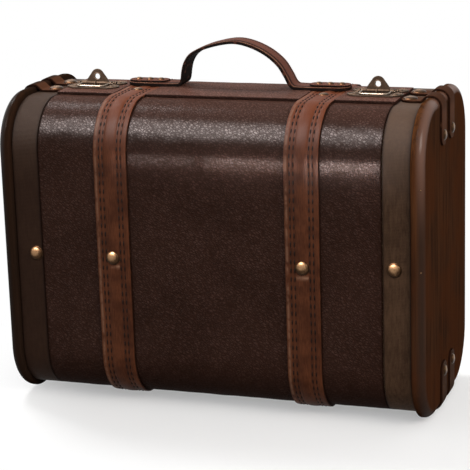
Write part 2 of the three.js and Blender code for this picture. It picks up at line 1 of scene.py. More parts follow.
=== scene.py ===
"""The looks of a small leather-covered suitcase box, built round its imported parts.

Shapes are worked out in millimetres, in the frame of the parts: x along the case, y to the back, z up.
What wraps a half of the case is a profile carried along half of the case's outline.
"""
import math

import bpy
import numpy as np
from mathutils import Matrix, Vector


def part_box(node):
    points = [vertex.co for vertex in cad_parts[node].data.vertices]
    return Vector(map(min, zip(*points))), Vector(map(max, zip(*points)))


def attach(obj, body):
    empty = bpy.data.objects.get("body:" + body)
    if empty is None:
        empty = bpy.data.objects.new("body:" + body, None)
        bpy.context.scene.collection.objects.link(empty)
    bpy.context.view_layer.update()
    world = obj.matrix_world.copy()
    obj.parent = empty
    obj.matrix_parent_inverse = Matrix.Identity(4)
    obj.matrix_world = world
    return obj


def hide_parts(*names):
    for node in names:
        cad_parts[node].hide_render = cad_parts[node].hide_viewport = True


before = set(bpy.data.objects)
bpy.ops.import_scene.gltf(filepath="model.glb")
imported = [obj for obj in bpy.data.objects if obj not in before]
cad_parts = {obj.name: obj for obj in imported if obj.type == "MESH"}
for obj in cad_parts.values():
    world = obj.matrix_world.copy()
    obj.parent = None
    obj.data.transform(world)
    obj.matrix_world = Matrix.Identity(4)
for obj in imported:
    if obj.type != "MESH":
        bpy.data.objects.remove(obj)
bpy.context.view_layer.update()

MM = 0.001
TURN = 2 * math.pi
HALVES = {"front": -1, "back": 1}
ENDS = {"left": -1, "right": 1}
LEVELS = {"top": 1, "bottom": -1}
QUARTERS = [(half, side, end, way) for half, side in HALVES.items() for end, way in ENDS.items()]
BOTH = (-1, 1)
X, Y, Z = np.eye(3)
SHARP_DEGREES = 35
STRIP_SIDE_POINTS = 8


def span(node):
    """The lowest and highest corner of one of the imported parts, in millimetres."""
    low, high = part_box(node)
    return np.array(low) / MM, np.array(high) / MM


# The case, from its parts
board_low, board_high = span("back_end_board_right")
leather_low, leather_high = span("back_leather")
band_low, band_high = span("back_band_right")
strap_low, strap_high = span("back_strap_right")
strip_low, strip_high = span("back_closure_strip_middle")
tab_low, tab_high = span("back_corner_tab_right_top")
handle_low, handle_high = span("handle_strap")
patch_low, patch_high = span("handle_patch_right")
nail_low, nail_high = span("back_strap_nail_right")
band_nail_low, band_nail_high = span("back_band_nail_right")
pin_low, pin_high = span("latch_pin_right")
hinge_low, hinge_high = span("hinge_pin_right")

SPLIT = board_low[1]
BOARD_INNER, HALF_LENGTH = board_low[0], board_high[0]
DEPTH = board_high[1]
BOTTOM, TOP = board_low[2], board_high[2]
CORNER = 50
FLAT = DEPTH - CORNER
QUARTER = CORNER * TURN / 4
WALL = TOP - BOTTOM - 2 * CORNER
OUTLINE = 2 * FLAT + 2 * QUARTER + WALL
WALL_MIDDLE = FLAT + QUARTER + WALL / 2
SWELL = 1.2

# Layers, as offsets from the outline of the end boards
GAP = 0.3
LEATHER_THICKNESS = 1.2
PLYWOOD_THICKNESS = 3.5
LINING_THICKNESS = 1
LEATHER_OUT = leather_high[1] - DEPTH
LEATHER_IN = LEATHER_OUT - LEATHER_THICKNESS
SHELL_OUT = LEATHER_IN - GAP
SHELL_IN = SHELL_OUT - PLYWOOD_THICKNESS
LINING_OUT = SHELL_IN - GAP
LINING_IN = LINING_OUT - LINING_THICKNESS
LAYER_REACH = band_high[0]
EDGE_ROUND = 0.5
SKIN_STEP = 2.4
SKIN_LENGTHS = np.append(np.arange(SPLIT, OUTLINE - SPLIT, SKIN_STEP), OUTLINE - SPLIT)

# End boards
BOARD_OUTER_ROUND = 8
BOARD_INNER_ROUND = 2.5
HINGE_LEVEL = (hinge_low[2] + hinge_high[2]) / 2
HINGE_RELIEF = 4.8
# How much each board's inner edge is lightened: rubbed wood, and painted light that makes the right board's
# edge brighter than the left's.
RUBBED_AND_LIT = {"left": 0.05, "right": 0.9}

# Straps
STRAP_AT = (strap_low[0] + strap_high[0]) / 2
STRAP_HALF = (strap_high[0] - strap_low[0]) / 2
STRAP_UNDER = LEATHER_OUT + GAP
STRAP_END = OUTLINE - strap_low[1] - HINGE_RELIEF
STRAP_STEP = 1.6
STRAP_BASE = 1.7
STRAP_RIB = 0.9
STITCH_SHARES = (-0.66, -0.44, 0.44, 0.66)
STITCH_LENGTH = 5
STITCH_PITCH = 8
THREAD_RADIUS = 0.62

# Nails: the radius and height of each kind of head, and how far the front ones are off their places
NAIL_RADIUS = (nail_high[0] - nail_low[0]) / 2
NAIL_LEVEL = (nail_high[2] + nail_low[2]) / 2
BAND_NAIL_AT = (band_nail_high[0] + band_nail_low[0]) / 2
HEADS = {
    "large": (NAIL_RADIUS, 3.4),
    "rim": (NAIL_RADIUS, 2.4),
    "small": (5, 2.2),
    "handle": (3.6, 1.8),
    "screw": (2.4, 1.0),
    "pin": (0.9, 0.5),
}
NAIL_SHIFTS = {
    ("front", "band", "left"): (2.8, -1.5),
    ("front", "band", "right"): (1.6, 2.2),
    ("front", "strap", "left"): (-0.6, -1.0),
}
NAIL_LIFT = 0.1
TOP_NAIL_Y = -13
PIN_INSET = 3
PIN_LEVELS = {"upper": 222.4, "lower": 149.1}

# Corner tabs
TAB_CENTRE = (tab_low[1] + tab_high[1]) / 2
TAB_HALF = (tab_high[1] - tab_low[1]) / 2
TAB_THICKNESS = 1.7
TAB_TOP_END = tab_low[0]
TAB_RAMP = 5
TAB_FACE = TOP - tab_low[2]
FACE_NAIL_DROP = TAB_FACE - 9
# How much darker each tab is painted where it crosses the rim: painted shade, deepest on the left.
TAB_SHADES = {"left": 1.0, "right": 0.55}

# Closure strips
STRIP_HIGH = strip_high[2]
STRIP_LOW = strip_low[2]
STRIP_FAR = strip_high[1]
STRIP_FAR_ROUND = 1.2
STRIP_SPLIT_ROUND = 0.6
STRIP_STEP = 3

# Handle: its arch as shares of half its span and of its rise
HANDLE_CENTRE = (handle_low[1] + handle_high[1]) / 2
HANDLE_HALF = (handle_high[1] - handle_low[1]) / 2
HANDLE_REACH = handle_high[0]
HANDLE_THICKNESS = 3
HANDLE_LOW = handle_low[2]
HANDLE_RISE = handle_high[2] - HANDLE_LOW - HANDLE_THICKNESS
HANDLE_SPAN = 56
HANDLE_SHARES = (
    (-1.07, 0), (-1.0, 0.012), (-0.955, 0.06), (-0.935, 0.16), (-0.918, 0.31), (-0.878, 0.5),
    (-0.785, 0.68), (-0.59, 0.83), (-0.23, 0.97), (0.02, 1), (0.295, 0.915), (0.56, 0.735),
    (0.76, 0.5), (0.875, 0.255), (0.945, 0.075), (1.0, 0.012), (1.07, 0),
)
HANDLE_NAIL_PITCH = 11
PATCH_HALF = (patch_high[1] - patch_low[1]) / 2
PATCH_THICKNESS = 1

# Latches, about the hasp's axis
LATCH_AT = (pin_low[0] + pin_high[0]) / 2
LATCH_Y = (pin_low[1] + pin_high[1]) / 2
LATCH_Z = (pin_low[2] + pin_high[2]) / 2
KNUCKLE = 1.7
KNUCKLE_START, KNUCKLE_END = 11, 17
PLATE_TOP = 1 - KNUCKLE
LOBE_AT = 18.5
LOBE_RADIUS = 7.5
PLATE_NEAR = 0.3
KNUCKLE_BACK = 1.95
FRONT_NEAR = -4.2
FRONT_LIP = 2.5
RING_INSET = 1.6
RING_GIRTH = 0.45
SCREW_SINK = 0.1
AXLE_RADIUS, AXLE_END = 0.8, 17.4
AXLE_HEAD_START, AXLE_HEAD_END = 17.3, 18.9
EAR_AT = 15.95
EAR_RADIUS, EAR_HOLE, EAR_HALF_THICKNESS = 2.1, 1.1, 0.75
BAIL_Y, BAIL_LIFT, BAIL_WIRE = -5.8, 1.2, 0.8
STAPLE_Y, STAPLE_LIFT, STAPLE_RADIUS, STAPLE_WIRE = -6.4, 1.8, 1.2, 0.7
BEVEL_WIDTH, WIRE_BEVEL_WIDTH = 0.22, 0.05

# Camera
YAW, PITCH, ROLL = 18.88, 14.54, -1.76
CAMERA_TARGET = (-3.08, 0, 149.23)
CAMERA_DISTANCE = 1.7184
FOCAL_PIXELS, PICTURE_PIXELS = 1816.24, 470
SENSOR = 36

# Room, in metres
FLOOR_REACH = 8
FLOOR_SEEN, FLOOR_UNSEEN = (0.9, 0.9, 0.9), (0.3, 0.3, 0.3)
FLOOR_NEAR, FLOOR_FAR = 0.18, 0.34
FLOOR_GLOW = 0.36
WORLD_UNSEEN, WORLD_SEEN = 0.6, 1.0
WHITE = (1, 1, 1, 1)
WARM = (1, 0.90, 0.87)
LOW_GLOSS_LEVEL = 0.2345
LOW_GLOSS = ((-0.055, 0.07, 0.055), (0.03, 0.08, 0.13), (0.125, 0.06, 0.16))


class Socket:
    """A number on its way through a node tree: arithmetic on it adds Math nodes."""

    def __init__(self, nodes, link):
        self.nodes = nodes
        self.link = link

    def maths(self, operation, *values):
        return self.nodes.node("ShaderNodeMath", {"operation": operation}, dict(enumerate(values)))

    def __add__(self, other):
        return self.maths("ADD", self, other)

    __radd__ = __add__

    def __sub__(self, other):
        return self.maths("SUBTRACT", self, other)

    def __rsub__(self, other):
        return self.maths("SUBTRACT", other, self)

    def __mul__(self, other):
        return self.maths("MULTIPLY", self, other)

    __rmul__ = __mul__

    def over(self, other):
        """The larger of two numbers."""
        return self.maths("MAXIMUM", self, other)

    def sine(self):
        return self.maths("SINE", self)

    def rise(self, low, high):
        """0 below low, 1 above high, and a soft step between them."""
        settings = {"interpolation_type": "SMOOTHSTEP"}
        return self.nodes.node("ShaderNodeMapRange", settings, {0: self, 1: low, 2: high})


class Nodes:
    """A node tree, and the nodes that are added to it."""

    def __init__(self, tree):
        self.tree = tree

    def plug(self, socket, value):
        if isinstance(value, Socket):
            self.tree.links.new(value.link, socket)
        else:
            socket.default_value = value

    def node(self, kind, settings=None, values=None, out=0):
        """One node: its settings first, then the values or links of its sockets."""
        node = self.tree.nodes.new(kind)
        for name, value in (settings or {}).items():
            setattr(node, name, value)
        for name, value in (values or {}).items():
            self.plug(node.inputs[name], value)
        return Socket(self, node.outputs[out]) if node.outputs else None

    def mapped(self, vector, **values):
        """A vector turned, stretched or moved."""
        return self.node("ShaderNodeMapping", values={"Vector": vector, **values})

    def place(self, **values):
        """Object coordinates in metres, stretched or moved."""
        return self.mapped(self.node("ShaderNodeTexCoord", out="Object"), **values)

    def mix(self, factor, first, second):
        """From one colour to another."""
        first, second = (c if isinstance(c, Socket) else (*c, 1) for c in (first, second))
        return self.node("ShaderNodeMix", {"data_type": "RGBA"}, {0: factor, 6: first, 7: second}, 2)

    def seen(self):
        """1 on what the camera sees directly, in a mirror or through glass, else 0."""
        rays = ("Is Camera Ray", "Is Glossy Ray", "Is Transmission Ray")
        direct, mirrored, through_glass = (self.node("ShaderNodeLightPath", out=ray) for ray in rays)
        return direct.over(mirrored).over(through_glass)

    def finished(self, output, factor, first, second):
        """The tree's output, from one shader to another."""
        shader = self.node("ShaderNodeMixShader", values={0: factor, 1: first, 2: second})
        self.node(output, values={"Surface": shader})


class Finish(Nodes):
    """One material: its nodes, and the shader that they feed."""

    def __init__(self, name, **settings):
        self.material = bpy.data.materials.new(name)
        self.material.use_nodes = True
        super().__init__(self.material.node_tree)
        self.shader = self.tree.nodes["Principled BSDF"]
        self.feed(**settings)

    def feed(self, **values):
        """Sets or links the shader's sockets, named with _ for each space."""
        for name, value in values.items():
            self.plug(self.shader.inputs[name.replace("_", " ")], value)

    def surface(self, **values):
        """The piece's own map, stretched: across it and along it, in metres."""
        return self.mapped(self.node("ShaderNodeUVMap", {"uv_map": "UVMap"}), **values)

    def part(self, vector, axis):
        """One coordinate of a vector."""
        return self.node("ShaderNodeSeparateXYZ", values={0: vector}, out=axis)

    def noise(self, vector, scale, detail=2.0, roughness=0.5, distortion=0.0):
        values = {"Vector": vector, "Scale": scale, "Detail": detail, "Roughness": roughness,
                  "Distortion": distortion}
        return self.node("ShaderNodeTexNoise", values=values)

    def lines(self, axis, pitch, drift=0):
        """Waves over the piece's own map, one pitch apart in metres and pushed aside by the drift."""
        return (self.part(self.surface(), axis) * (TURN / pitch) + drift).sine()

    def left_half(self, place):
        """1 on the left half of the case, 0 on the right half."""
        return 1 - self.part(place, 0).rise(-0.02, 0.02)

    def mark(self, name):
        """A number kept at each point of the mesh."""
        return self.node("ShaderNodeAttribute", {"attribute_name": name}, out="Fac")

    def bump(self, height, distance):
        values = {"Height": height, "Distance": distance, "Strength": 1.0}
        self.feed(Normal=self.node("ShaderNodeBump", values=values))


def shade(colour, share):
    """A darker or lighter colour: each channel times the share, or times its own of three."""
    return tuple(np.multiply(colour, share))


def pebbled_leather(name, deep, light, worn, top, gloss):
    """Leather with pebbles 2 to 3 mm across, shiny on their crests; painted light high up, painted shade
    low down and in the creases, painted highlights on the crests, dark cut edges and painted shadow lines
    beside the straps.
    """
    finish = Finish(name, Specular_IOR_Level=0.005, Roughness=0.5, Coat_Roughness=0.29)
    place = finish.place()
    cloud = finish.noise(place, 13, 3, 0.6)
    mottle = finish.noise(place, 130, 3, 0.6)
    slanting = finish.mapped(finish.mapped(place, Rotation=(0, -0.5, 0)), Scale=(0.55, 1, 1))
    cells = {"Vector": slanting, "Scale": 520}
    pebble = finish.node("ShaderNodeTexVoronoi", {"feature": "DISTANCE_TO_EDGE"}, cells).rise(0.0, 0.34)
    crease = finish.noise(slanting, 430, 4, 0.65, 0.8)
    crest = pebble * crease.rise(0.36, 0.54)
    height = finish.part(place, 2)
    foot = 1 - height.rise(0.004, 0.075)
    edge = finish.mark("edge")
    colour = finish.mix(cloud.rise(0.35, 0.65), deep, light)
    colour = finish.mix(mottle.rise(0.42, 0.75) * 0.4, colour, worn)
    # Painted light: the leather is lighter high up.
    colour = finish.mix(height.rise(0.262, 0.288) * 0.7, colour, top)
    # Painted shade: darker towards the bottom.
    colour = finish.mix(foot * 0.7, colour, shade(deep, 0.4))
    # Painted shade in the creases between the pebbles.
    colour = finish.mix((1 - crest) * 0.6, colour, shade(deep, 0.4))
    # Painted highlight on the pebble crests.
    colour = finish.mix(crest * mottle.rise(0.40, 0.70) * 0.25, colour, worn)
    # Dark cut edges, with painted shadow lines beside the straps and painted shade on the closure strips'
    # upright sides.
    colour = finish.mix(edge * 0.85, colour, shade(deep, 0.3))
    shine = 0.35 + (0.5 + 1.1 * mottle) * crest
    finish.feed(Base_Color=colour, Coat_Weight=gloss * shine * (1 - edge) * (1 - foot))
    finish.bump(pebble * 0.6 + crease, 0.00072)
    return finish.material


def red_leather(name, deep, light, raw, specular=0.04, rough=0.36, dark_lines=0.25):
    """Smooth reddish leather: pores, fibres along it, painted light high up, dark lines of painted shade,
    lighter marks of wear and painted highlight, and raw edges.
    """
    finish = Finish(name, Specular_IOR_Level=specular)
    place = finish.place()
    fibre = finish.noise(finish.surface(Scale=(1, 0.12, 1)), 900, 3, 0.6)
    cloud = finish.noise(place, 45, 3, 0.6)
    pores = finish.noise(place, 900, 3, 0.7)
    patches = finish.noise(place, 160, 2)
    edge = finish.mark("edge")
    crown = finish.part(place, 2).rise(0.23, 0.285)
    colour = finish.mix((cloud * 0.6 + fibre * 0.4).rise(0.38, 0.64), deep, light)
    # Painted light: paler high up.
    colour = finish.mix(crown * 0.7, colour, shade(light, (1.7, 1.45, 1.4)))
    # Dark lines: painted shade in the stitch grooves, in the handle's creases and on the tabs where they
    # cross the rim.
    colour = finish.mix(finish.mark("groove") * dark_lines, colour, shade(deep, 0.3))
    # Lighter marks: wear, and painted highlights on the strap ribs and borders.
    colour = finish.mix(finish.mark("worn") * patches.rise(0.3, 0.6), colour, (0.20, 0.100, 0.060))
    colour = finish.mix(edge * patches.rise(0.2, 0.45), colour, raw)
    finish.feed(Base_Color=colour, Roughness=rough + 0.22 * pores + 0.2 * edge)
    finish.bump(pores * 0.5 + fibre * 0.35, 0.00022)
    return finish.material


def trim_canvas():
    """Brown trim of a fine weave: ribs across the band 1.3 mm apart, crossed by fainter threads; painted
    highlight high up and painted shade on the left band.
    """
    finish = Finish("trim_band", Specular_IOR_Level=0.02)
    place = finish.place()
    cloud = finish.noise(place, 30, 3, 0.6)
    grain = finish.noise(place, 1100, 2, 0.6)
    streak = finish.noise(finish.place(Scale=(1, 1, 0.2)), 420, 3, 0.6)
    weave = finish.lines(1, 0.0013, 4 * cloud) * 0.5 + finish.lines(0, 0.0011, 3 * cloud) * 0.3
    tone = (streak * 0.45 + cloud * 0.35 + grain * 0.2 + weave * 0.05).rise(0.36, 0.66)
    left = finish.left_half(place)
    high = finish.part(place, 2).rise(0.20, 0.27)
    colour = finish.mix(tone, (0.033, 0.0170, 0.0094), (0.072, 0.0390, 0.0220))
    # Painted highlight: lighter high on the band.
    colour = finish.mix(high * 0.6, colour, (0.115, 0.0740, 0.0540))
    # Painted shade: the left band darker, less so high up.
    colour = finish.mix(left * (0.8 - 0.25 * high), colour, (0.0175, 0.0080, 0.0052))
    colour = finish.mix(finish.mark("edge") * 0.85, colour, (0.009, 0.0042, 0.0028))
    finish.feed(Base_Color=colour, Roughness=0.38 + 0.2 * grain)
    finish.bump(weave * 0.35 + streak * 0.5 + grain * 0.4, 0.00028)
    return finish.material


def stained_wood():
    """Dark reddish-brown wood, grain upright, varnished on the rim, orange-brown along its inner edge;
    painted shade on the left board and painted highlight high on the right rim.
    """
    finish = Finish("stained_wood", Specular_IOR_Level=0.0, Coat_Roughness=0.24)
    place = finish.place()
    grain = finish.noise(finish.place(Scale=(1, 1, 0.045)), 190, 5, 0.62, 0.35)
    pores = finish.noise(finish.place(Scale=(1, 1, 0.02)), 900, 3, 0.7)
    cloud = finish.noise(place, 16, 3, 0.55)
    left = finish.left_half(place)
    height = finish.part(place, 2)
    rim = finish.mark("rim")
    lit = rim * height.rise(0.17, 0.26)
    worn = finish.mark("rub") * grain.rise(0.30, 0.60) * height.rise(0.12, 0.24)
    colour = finish.mix(grain.rise(0.36, 0.64), (0.027, 0.0118, 0.0064), (0.052, 0.0210, 0.0098))
    colour = finish.mix(cloud.rise(0.40, 0.64) * 0.7, colour, (0.052, 0.0168, 0.0066))
    colour = finish.mix(pores.rise(0.52, 0.70) * 0.5, colour, (0.014, 0.0066, 0.0040))
    colour = finish.mix(rim * 0.8, colour, (0.023, 0.0118, 0.0072))
    # Painted shade: the left board darker.
    colour = finish.mix(left * 0.8, colour, (0.012, 0.0074, 0.0052))
    # Painted highlight: lighter high on the rim of the right board.
    colour = finish.mix(lit * (1 - left) * 0.7, colour, (0.150, 0.072, 0.048))
    # The orange-brown inner edge: rubbed wood, kept to the upper part as a painted highlight.
    colour = finish.mix(worn, colour, (0.125, 0.044, 0.014))
    varnish = 0.10 * rim + 0.35 * lit * height.rise(0.20, 0.26)
    finish.feed(Base_Color=colour, Roughness=0.5 + 0.22 * cloud, Coat_Weight=varnish)
    finish.bump(grain * 0.6 + pores * 0.4, 0.00018)
    return finish.material


def old_metal(name, dark, bright, rough, specks, low, high):
    """Antique metal: bright where it is rubbed and where the crown mark paints a highlight on the upper
    side, dark patina in clouds and specks.
    """
    finish = Finish(name, Metallic=1.0)
    place = finish.place()
    cloud = finish.noise(place, 260, 3, 0.6)
    dust = finish.noise(place, specks, 3, 0.7)
    crown = finish.mark("crown")
    rubbed = (cloud * 0.6 + dust * 0.4 + 0.45 * crown * crown - 0.08).rise(low, high)
    finish.feed(Base_Color=finish.mix(rubbed, dark, bright), Roughness=rough + 0.25 * dust)
    finish.bump(dust * 0.6 + cloud * 0.4, 0.00012)
    return finish.material


def plywood():
    """Pale wood with its grain along the case."""
    finish = Finish("plywood", Specular_IOR_Level=0.3)
    drawn = finish.place(Scale=(0.05, 1, 1))
    grain = finish.noise(drawn, 260, 4, 0.6, 0.3)
    pores = finish.noise(drawn, 1300, 3, 0.7)
    colour = finish.mix(grain.rise(0.35, 0.65), (0.33, 0.21, 0.105), (0.47, 0.33, 0.18))
    finish.feed(Base_Color=colour, Roughness=0.6 + 0.2 * pores)
    finish.bump(grain * 0.5 + pores * 0.5, 0.0002)
    return finish.material


def lining_cloth():
    """Brown cotton cloth: threads crossing each 0.9 mm, in slightly uneven brown."""
    finish = Finish("lining_cloth", Specular_IOR_Level=0.15)
    weave = finish.lines(0, 0.0009) * 0.5 + finish.lines(1, 0.0009) * 0.5
    cloud = finish.noise(finish.place(), 40, 3, 0.6)
    colour = finish.mix(cloud.rise(0.3, 0.7), (0.055, 0.031, 0.019), (0.083, 0.048, 0.031))
    finish.feed(Base_Color=colour, Roughness=0.85 + 0.1 * cloud)
    finish.bump(weave, 0.00012)
    return finish.material


def thread():
    """Dark waxed thread, slightly uneven."""
    finish = Finish("thread", Specular_IOR_Level=0.05)
    fibre = finish.noise(finish.place(Scale=(1, 1, 3)), 1500, 2)
    colour = finish.mix(fibre, (0.005, 0.0026, 0.0018), (0.014, 0.0070, 0.0045))
    finish.feed(Base_Color=colour, Roughness=0.55 + 0.2 * fibre)
    finish.bump(fibre, 0.0001)
    return finish.material


MATERIALS = {
    "body_leather": pebbled_leather("body_leather", (0.0290, 0.0112, 0.0066), (0.0420, 0.0178, 0.0116),
                                    (0.058, 0.0255, 0.0185), (0.120, 0.0540, 0.0385), gloss=0.11),
    "strip_leather": pebbled_leather("strip_leather", (0.036, 0.0150, 0.0105), (0.058, 0.0240, 0.0170),
                                     (0.125, 0.0520, 0.0355), (0.240, 0.1100, 0.0800), gloss=0.08),
    "strap_leather": red_leather("strap_leather", (0.044, 0.0132, 0.0056), (0.086, 0.0270, 0.0112),
                                 (0.016, 0.0062, 0.0035)),
    "handle_leather": red_leather("handle_leather", (0.044, 0.0165, 0.0100), (0.076, 0.0300, 0.0190),
                                  (0.006, 0.0032, 0.0024), specular=0.02, rough=0.42, dark_lines=0.95),
    "tab_leather": red_leather("tab_leather", (0.030, 0.0130, 0.0065), (0.052, 0.0235, 0.0125),
                               (0.018, 0.0070, 0.0042), specular=0.002, dark_lines=0.75),
    "band": trim_canvas(),
    "end_board": stained_wood(),
    "brass": old_metal("antique_brass", (0.035, 0.018, 0.009), (0.22, 0.128, 0.066),
                       rough=0.30, specks=900, low=0.42, high=0.98),
    "bronze": old_metal("dark_bronze", (0.028, 0.019, 0.013), (0.088, 0.062, 0.043),
                        rough=0.52, specks=1200, low=0.34, high=0.90),
    "wire": old_metal("rubbed_wire", (0.080, 0.060, 0.044), (0.270, 0.218, 0.168),
                      rough=0.28, specks=1200, low=0.25, high=0.80),
    "plywood": plywood(),
    "lining": lining_cloth(),
    "thread": thread(),
}


class Shell:
    """A closed skin: points in millimetres, faces as lists of indices, and marks kept at each point."""

    def __init__(self, points, faces, **marks):
        self.points = np.asarray(points, float).reshape(-1, 3)
        self.faces = faces
        count = len(self.points)
        self.marks = {name: np.broadcast_to(np.ravel(value), count) for name, value in marks.items()}
        if self.volume() < 0:
            self.faces = [face[::-1] for face in faces]

    def volume(self):
        """Six times the volume inside: each face is a fan of triangles seen from the origin."""
        total = 0
        for corners in {len(face) for face in self.faces}:
            p = self.points[np.array([face for face in self.faces if len(face) == corners])]
            total += np.einsum("ij,ikj->", p[:, 0], np.cross(p[:, 1:-1], p[:, 2:]))
        return total

    def moved(self, origin, axes=(X, Y, Z)):
        """A copy in another place, its own x, y and z laid along the given axes."""
        points = self.points @ np.array(axes, float) + np.array(origin, float)
        return Shell(points, self.faces, **self.marks)


def tube(grid, **marks):
    """A closed skin over rings: grid is (rings, points in a ring, 3).

    Neighbouring points are joined by quads, each ring closes on itself, and the end rings are capped.
    """
    rings, count, _ = grid.shape
    index = np.arange(rings * count).reshape(rings, count)
    after = np.roll(index, -1, axis=1)
    quads = np.stack([index[:-1], after[:-1], after[1:], index[1:]], axis=-1).reshape(-1, 4)
    faces = quads.tolist() + [index[0][::-1].tolist(), index[-1].tolist()]
    return Shell(grid, faces, **{name: np.broadcast_to(v, (rings, count)) for name, v in marks.items()})


def hoop(grid, **marks):
    """A closed skin over rings, (rings, points in a ring, 3), whose last ring joins the first one."""
    rings, count, _ = grid.shape
    index = np.arange(rings * count).reshape(rings, count)
    after = np.roll(index, -1, axis=1)
    quads = np.stack([index, after, np.roll(after, -1, axis=0), np.roll(index, -1, axis=0)], axis=-1)
    return Shell(grid, quads.reshape(-1, 4).tolist(), **marks)


def levelled(loop, level):
    """A flat loop (u, v) at a level w."""
    return np.column_stack([loop, np.full(len(loop), level)])


def collar(outer, inner, low, high):
    """A flat plate with a hole: two loops of equally many points (u, v), between two levels w."""
    loops = ((outer, low), (outer, high), (inner, high), (inner, low))
    return hoop(np.stack([levelled(*loop) for loop in loops]))


def slab(outline, low, high):
    """A flat outline (u, v) between two levels w."""
    return tube(np.stack([levelled(outline, low), levelled(outline, high)]))


def arc(centre, radius, start, end, count):
    """Points on a circle's arc, from one angle to another, in degrees."""
    angle = np.radians(np.linspace(start, end, count))
    return np.column_stack([centre[0] + radius * np.cos(angle), centre[1] + radius * np.sin(angle)])


def turns(count):
    """Evenly spaced angles round a circle."""
    return np.linspace(0, TURN, count + 1)[:-1]


def piece(name, shells, material, body, replaces=()):
    """A named object from shells, with its marks, its map, its finish and the body that it moves with."""
    shells = shells if isinstance(shells, list) else [shells]
    points = np.concatenate([shell.points for shell in shells])
    starts = np.cumsum([0] + [len(shell.points) for shell in shells])
    faces = [[v + start for v in face] for shell, start in zip(shells, starts) for face in shell.faces]
    mesh = bpy.data.meshes.new(name)
    mesh.from_pydata((points * MM).tolist(), [], faces)
    for mark in sorted({mark for shell in shells for mark in shell.marks} - {"across", "along"}):
        values = np.concatenate([shell.marks.get(mark, np.zeros(len(shell.points))) for shell in shells])
        mesh.attributes.new(mark, "FLOAT", "POINT").data.foreach_set("value", values.astype(np.float32))
    corners = np.zeros(len(mesh.loops), np.int32)
    mesh.loops.foreach_get("vertex_index", corners)
    flat = [np.concatenate([shell.marks.get(mark, shell.points[:, axis]) for shell in shells])[corners] * MM
            for mark, axis in (("across", 0), ("along", 2))]
    flat = np.column_stack(flat).ravel().astype(np.float32)
    mesh.uv_layers.new(name="UVMap").data.foreach_set("uv", flat)
    mesh.shade_smooth()
    mesh.set_sharp_from_angle(angle=math.radians(SHARP_DEGREES))
    mesh.materials.append(MATERIALS[material])
    thing = bpy.data.objects.new(name, mesh)
    bpy.context.scene.collection.objects.link(thing)
    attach(thing, body)
    if replaces:
        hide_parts(*replaces)
    return thing


def ripple(a, b, size, seed):
    """Smooth unevenness, about -1 to 1: six sines of about one size over (a, b), each its own way."""
    rng = np.random.default_rng(seed)
    ways, phases, stretches = rng.uniform(0, TURN, 6), rng.uniform(0, TURN, 6), rng.uniform(0.6, 1.6, 6)
    total = 0
    for way, phase, stretch in zip(ways, phases, stretches):
        total = total + np.sin((a * np.cos(way) + b * np.sin(way)) * TURN / (size * stretch) + phase)
    return total / 3


def soft(value, low, high):
    """0 below low, 1 above high, and a smooth step between them."""
    t = np.clip((value - low) / (high - low), 0, 1)
    return t * t * (3 - 2 * t)


def outline(s, offset, side):
    """Points (y, z) at lengths s along half the case's outline, moved out by offset.

    s runs from the split over the top, down the wall and back below to the split. The normal turns from
    straight up by one quarter over the top corner and by one more over the bottom corner; the point is
    the corner's centre, slid along the flat stretches, plus the radius and the offset along the normal.
    """
    top_turn = np.clip((s - FLAT) / CORNER, 0, TURN / 4)
    bottom_turn = np.clip((s - FLAT - QUARTER - WALL) / CORNER, 0, TURN / 4)
    angle = TURN / 4 - top_turn - bottom_turn
    across = np.clip(s, 0, FLAT) - np.clip(s - OUTLINE + FLAT, 0, FLAT)
    down = np.clip(s - FLAT - QUARTER, 0, WALL)
    reach = CORNER + offset
    return side * (across + reach * np.cos(angle)), TOP - CORNER - down + reach * np.sin(angle)


def swell(s, x):
    """How far the leather stands out: a low cushion over the wall, none at the corners and the boards."""
    share = np.clip((s - FLAT - QUARTER / 2) / (WALL + QUARTER), 0, 1)
    return SWELL * np.sin(share * TURN / 2) ** 2 * (1 - (x / BOARD_INNER) ** 2)


def carried(x, offset, s, side):
    """A profile (x, offset) carried along half the outline: (lengths, profile points, 3)."""
    y, z = outline(s[:, None], offset, side)
    return np.stack(np.broadcast_arrays(x, y, z), axis=-1)


def rounded(low, high, shadow_lines=()):
    """A profile (x, offset) of the leather: an outer face in steps, two rounded edges and an inner face.

    Returns the profile, and marks that are 1 on the two cut edges and fade over the first millimetre.
    Shadow lines are (place, share): lines of painted shadow on the face, marked like the cut edges.
    """
    near = np.array([0, 0.6, 1.3, 2.2])
    x = np.concatenate([low + EDGE_ROUND + near,
                        np.linspace(low + 4, high - 4, max(2, int((high - low) / SKIN_STEP))),
                        high - EDGE_ROUND - near[::-1]])
    for place, _ in shadow_lines:
        x = np.sort(np.append(x, place + np.array([-1.5, -0.6, 0, 0.6, 1.5])))
    face = np.column_stack([x, np.full(len(x), LEATHER_OUT)])
    right = arc((high - EDGE_ROUND, LEATHER_OUT - EDGE_ROUND), EDGE_ROUND, 75, 0, 5)
    left = arc((low + EDGE_ROUND, LEATHER_OUT - EDGE_ROUND), EDGE_ROUND, 180, 105, 5)
    profile = np.concatenate([face, right, [[high, LEATHER_IN], [low, LEATHER_IN]], left])
    fade = np.exp(-(np.minimum(x - low, high - x) - EDGE_ROUND) / 0.8)
    for place, share in shadow_lines:
        fade = np.maximum(fade, share * np.exp(-np.abs(x - place) / 0.8))
    return profile, np.append(fade, np.ones(len(profile) - len(x)))


def skin(name, half, way, profile, edge, waves, material, node):
    """A sheet over half the case: its profile carried along the outline, swelled, with waves outside."""
    x, offset = profile.T
    along = SKIN_LENGTHS[:, None]
    lift = swell(along, x) + waves * (offset > LEATHER_IN)
    grid = carried(way * x, offset + lift, SKIN_LENGTHS, HALVES[half])
    piece(name, tube(grid, across=x, along=along, edge=edge), material, f"{half}_half", replaces=[node])


def layer(out, inner):
    """The profile (x, offset) of a plain inner layer: a thin rectangle from board to board."""
    return LAYER_REACH * np.array([-1, 1, 1, -1]), np.array([out, out, inner, inner])


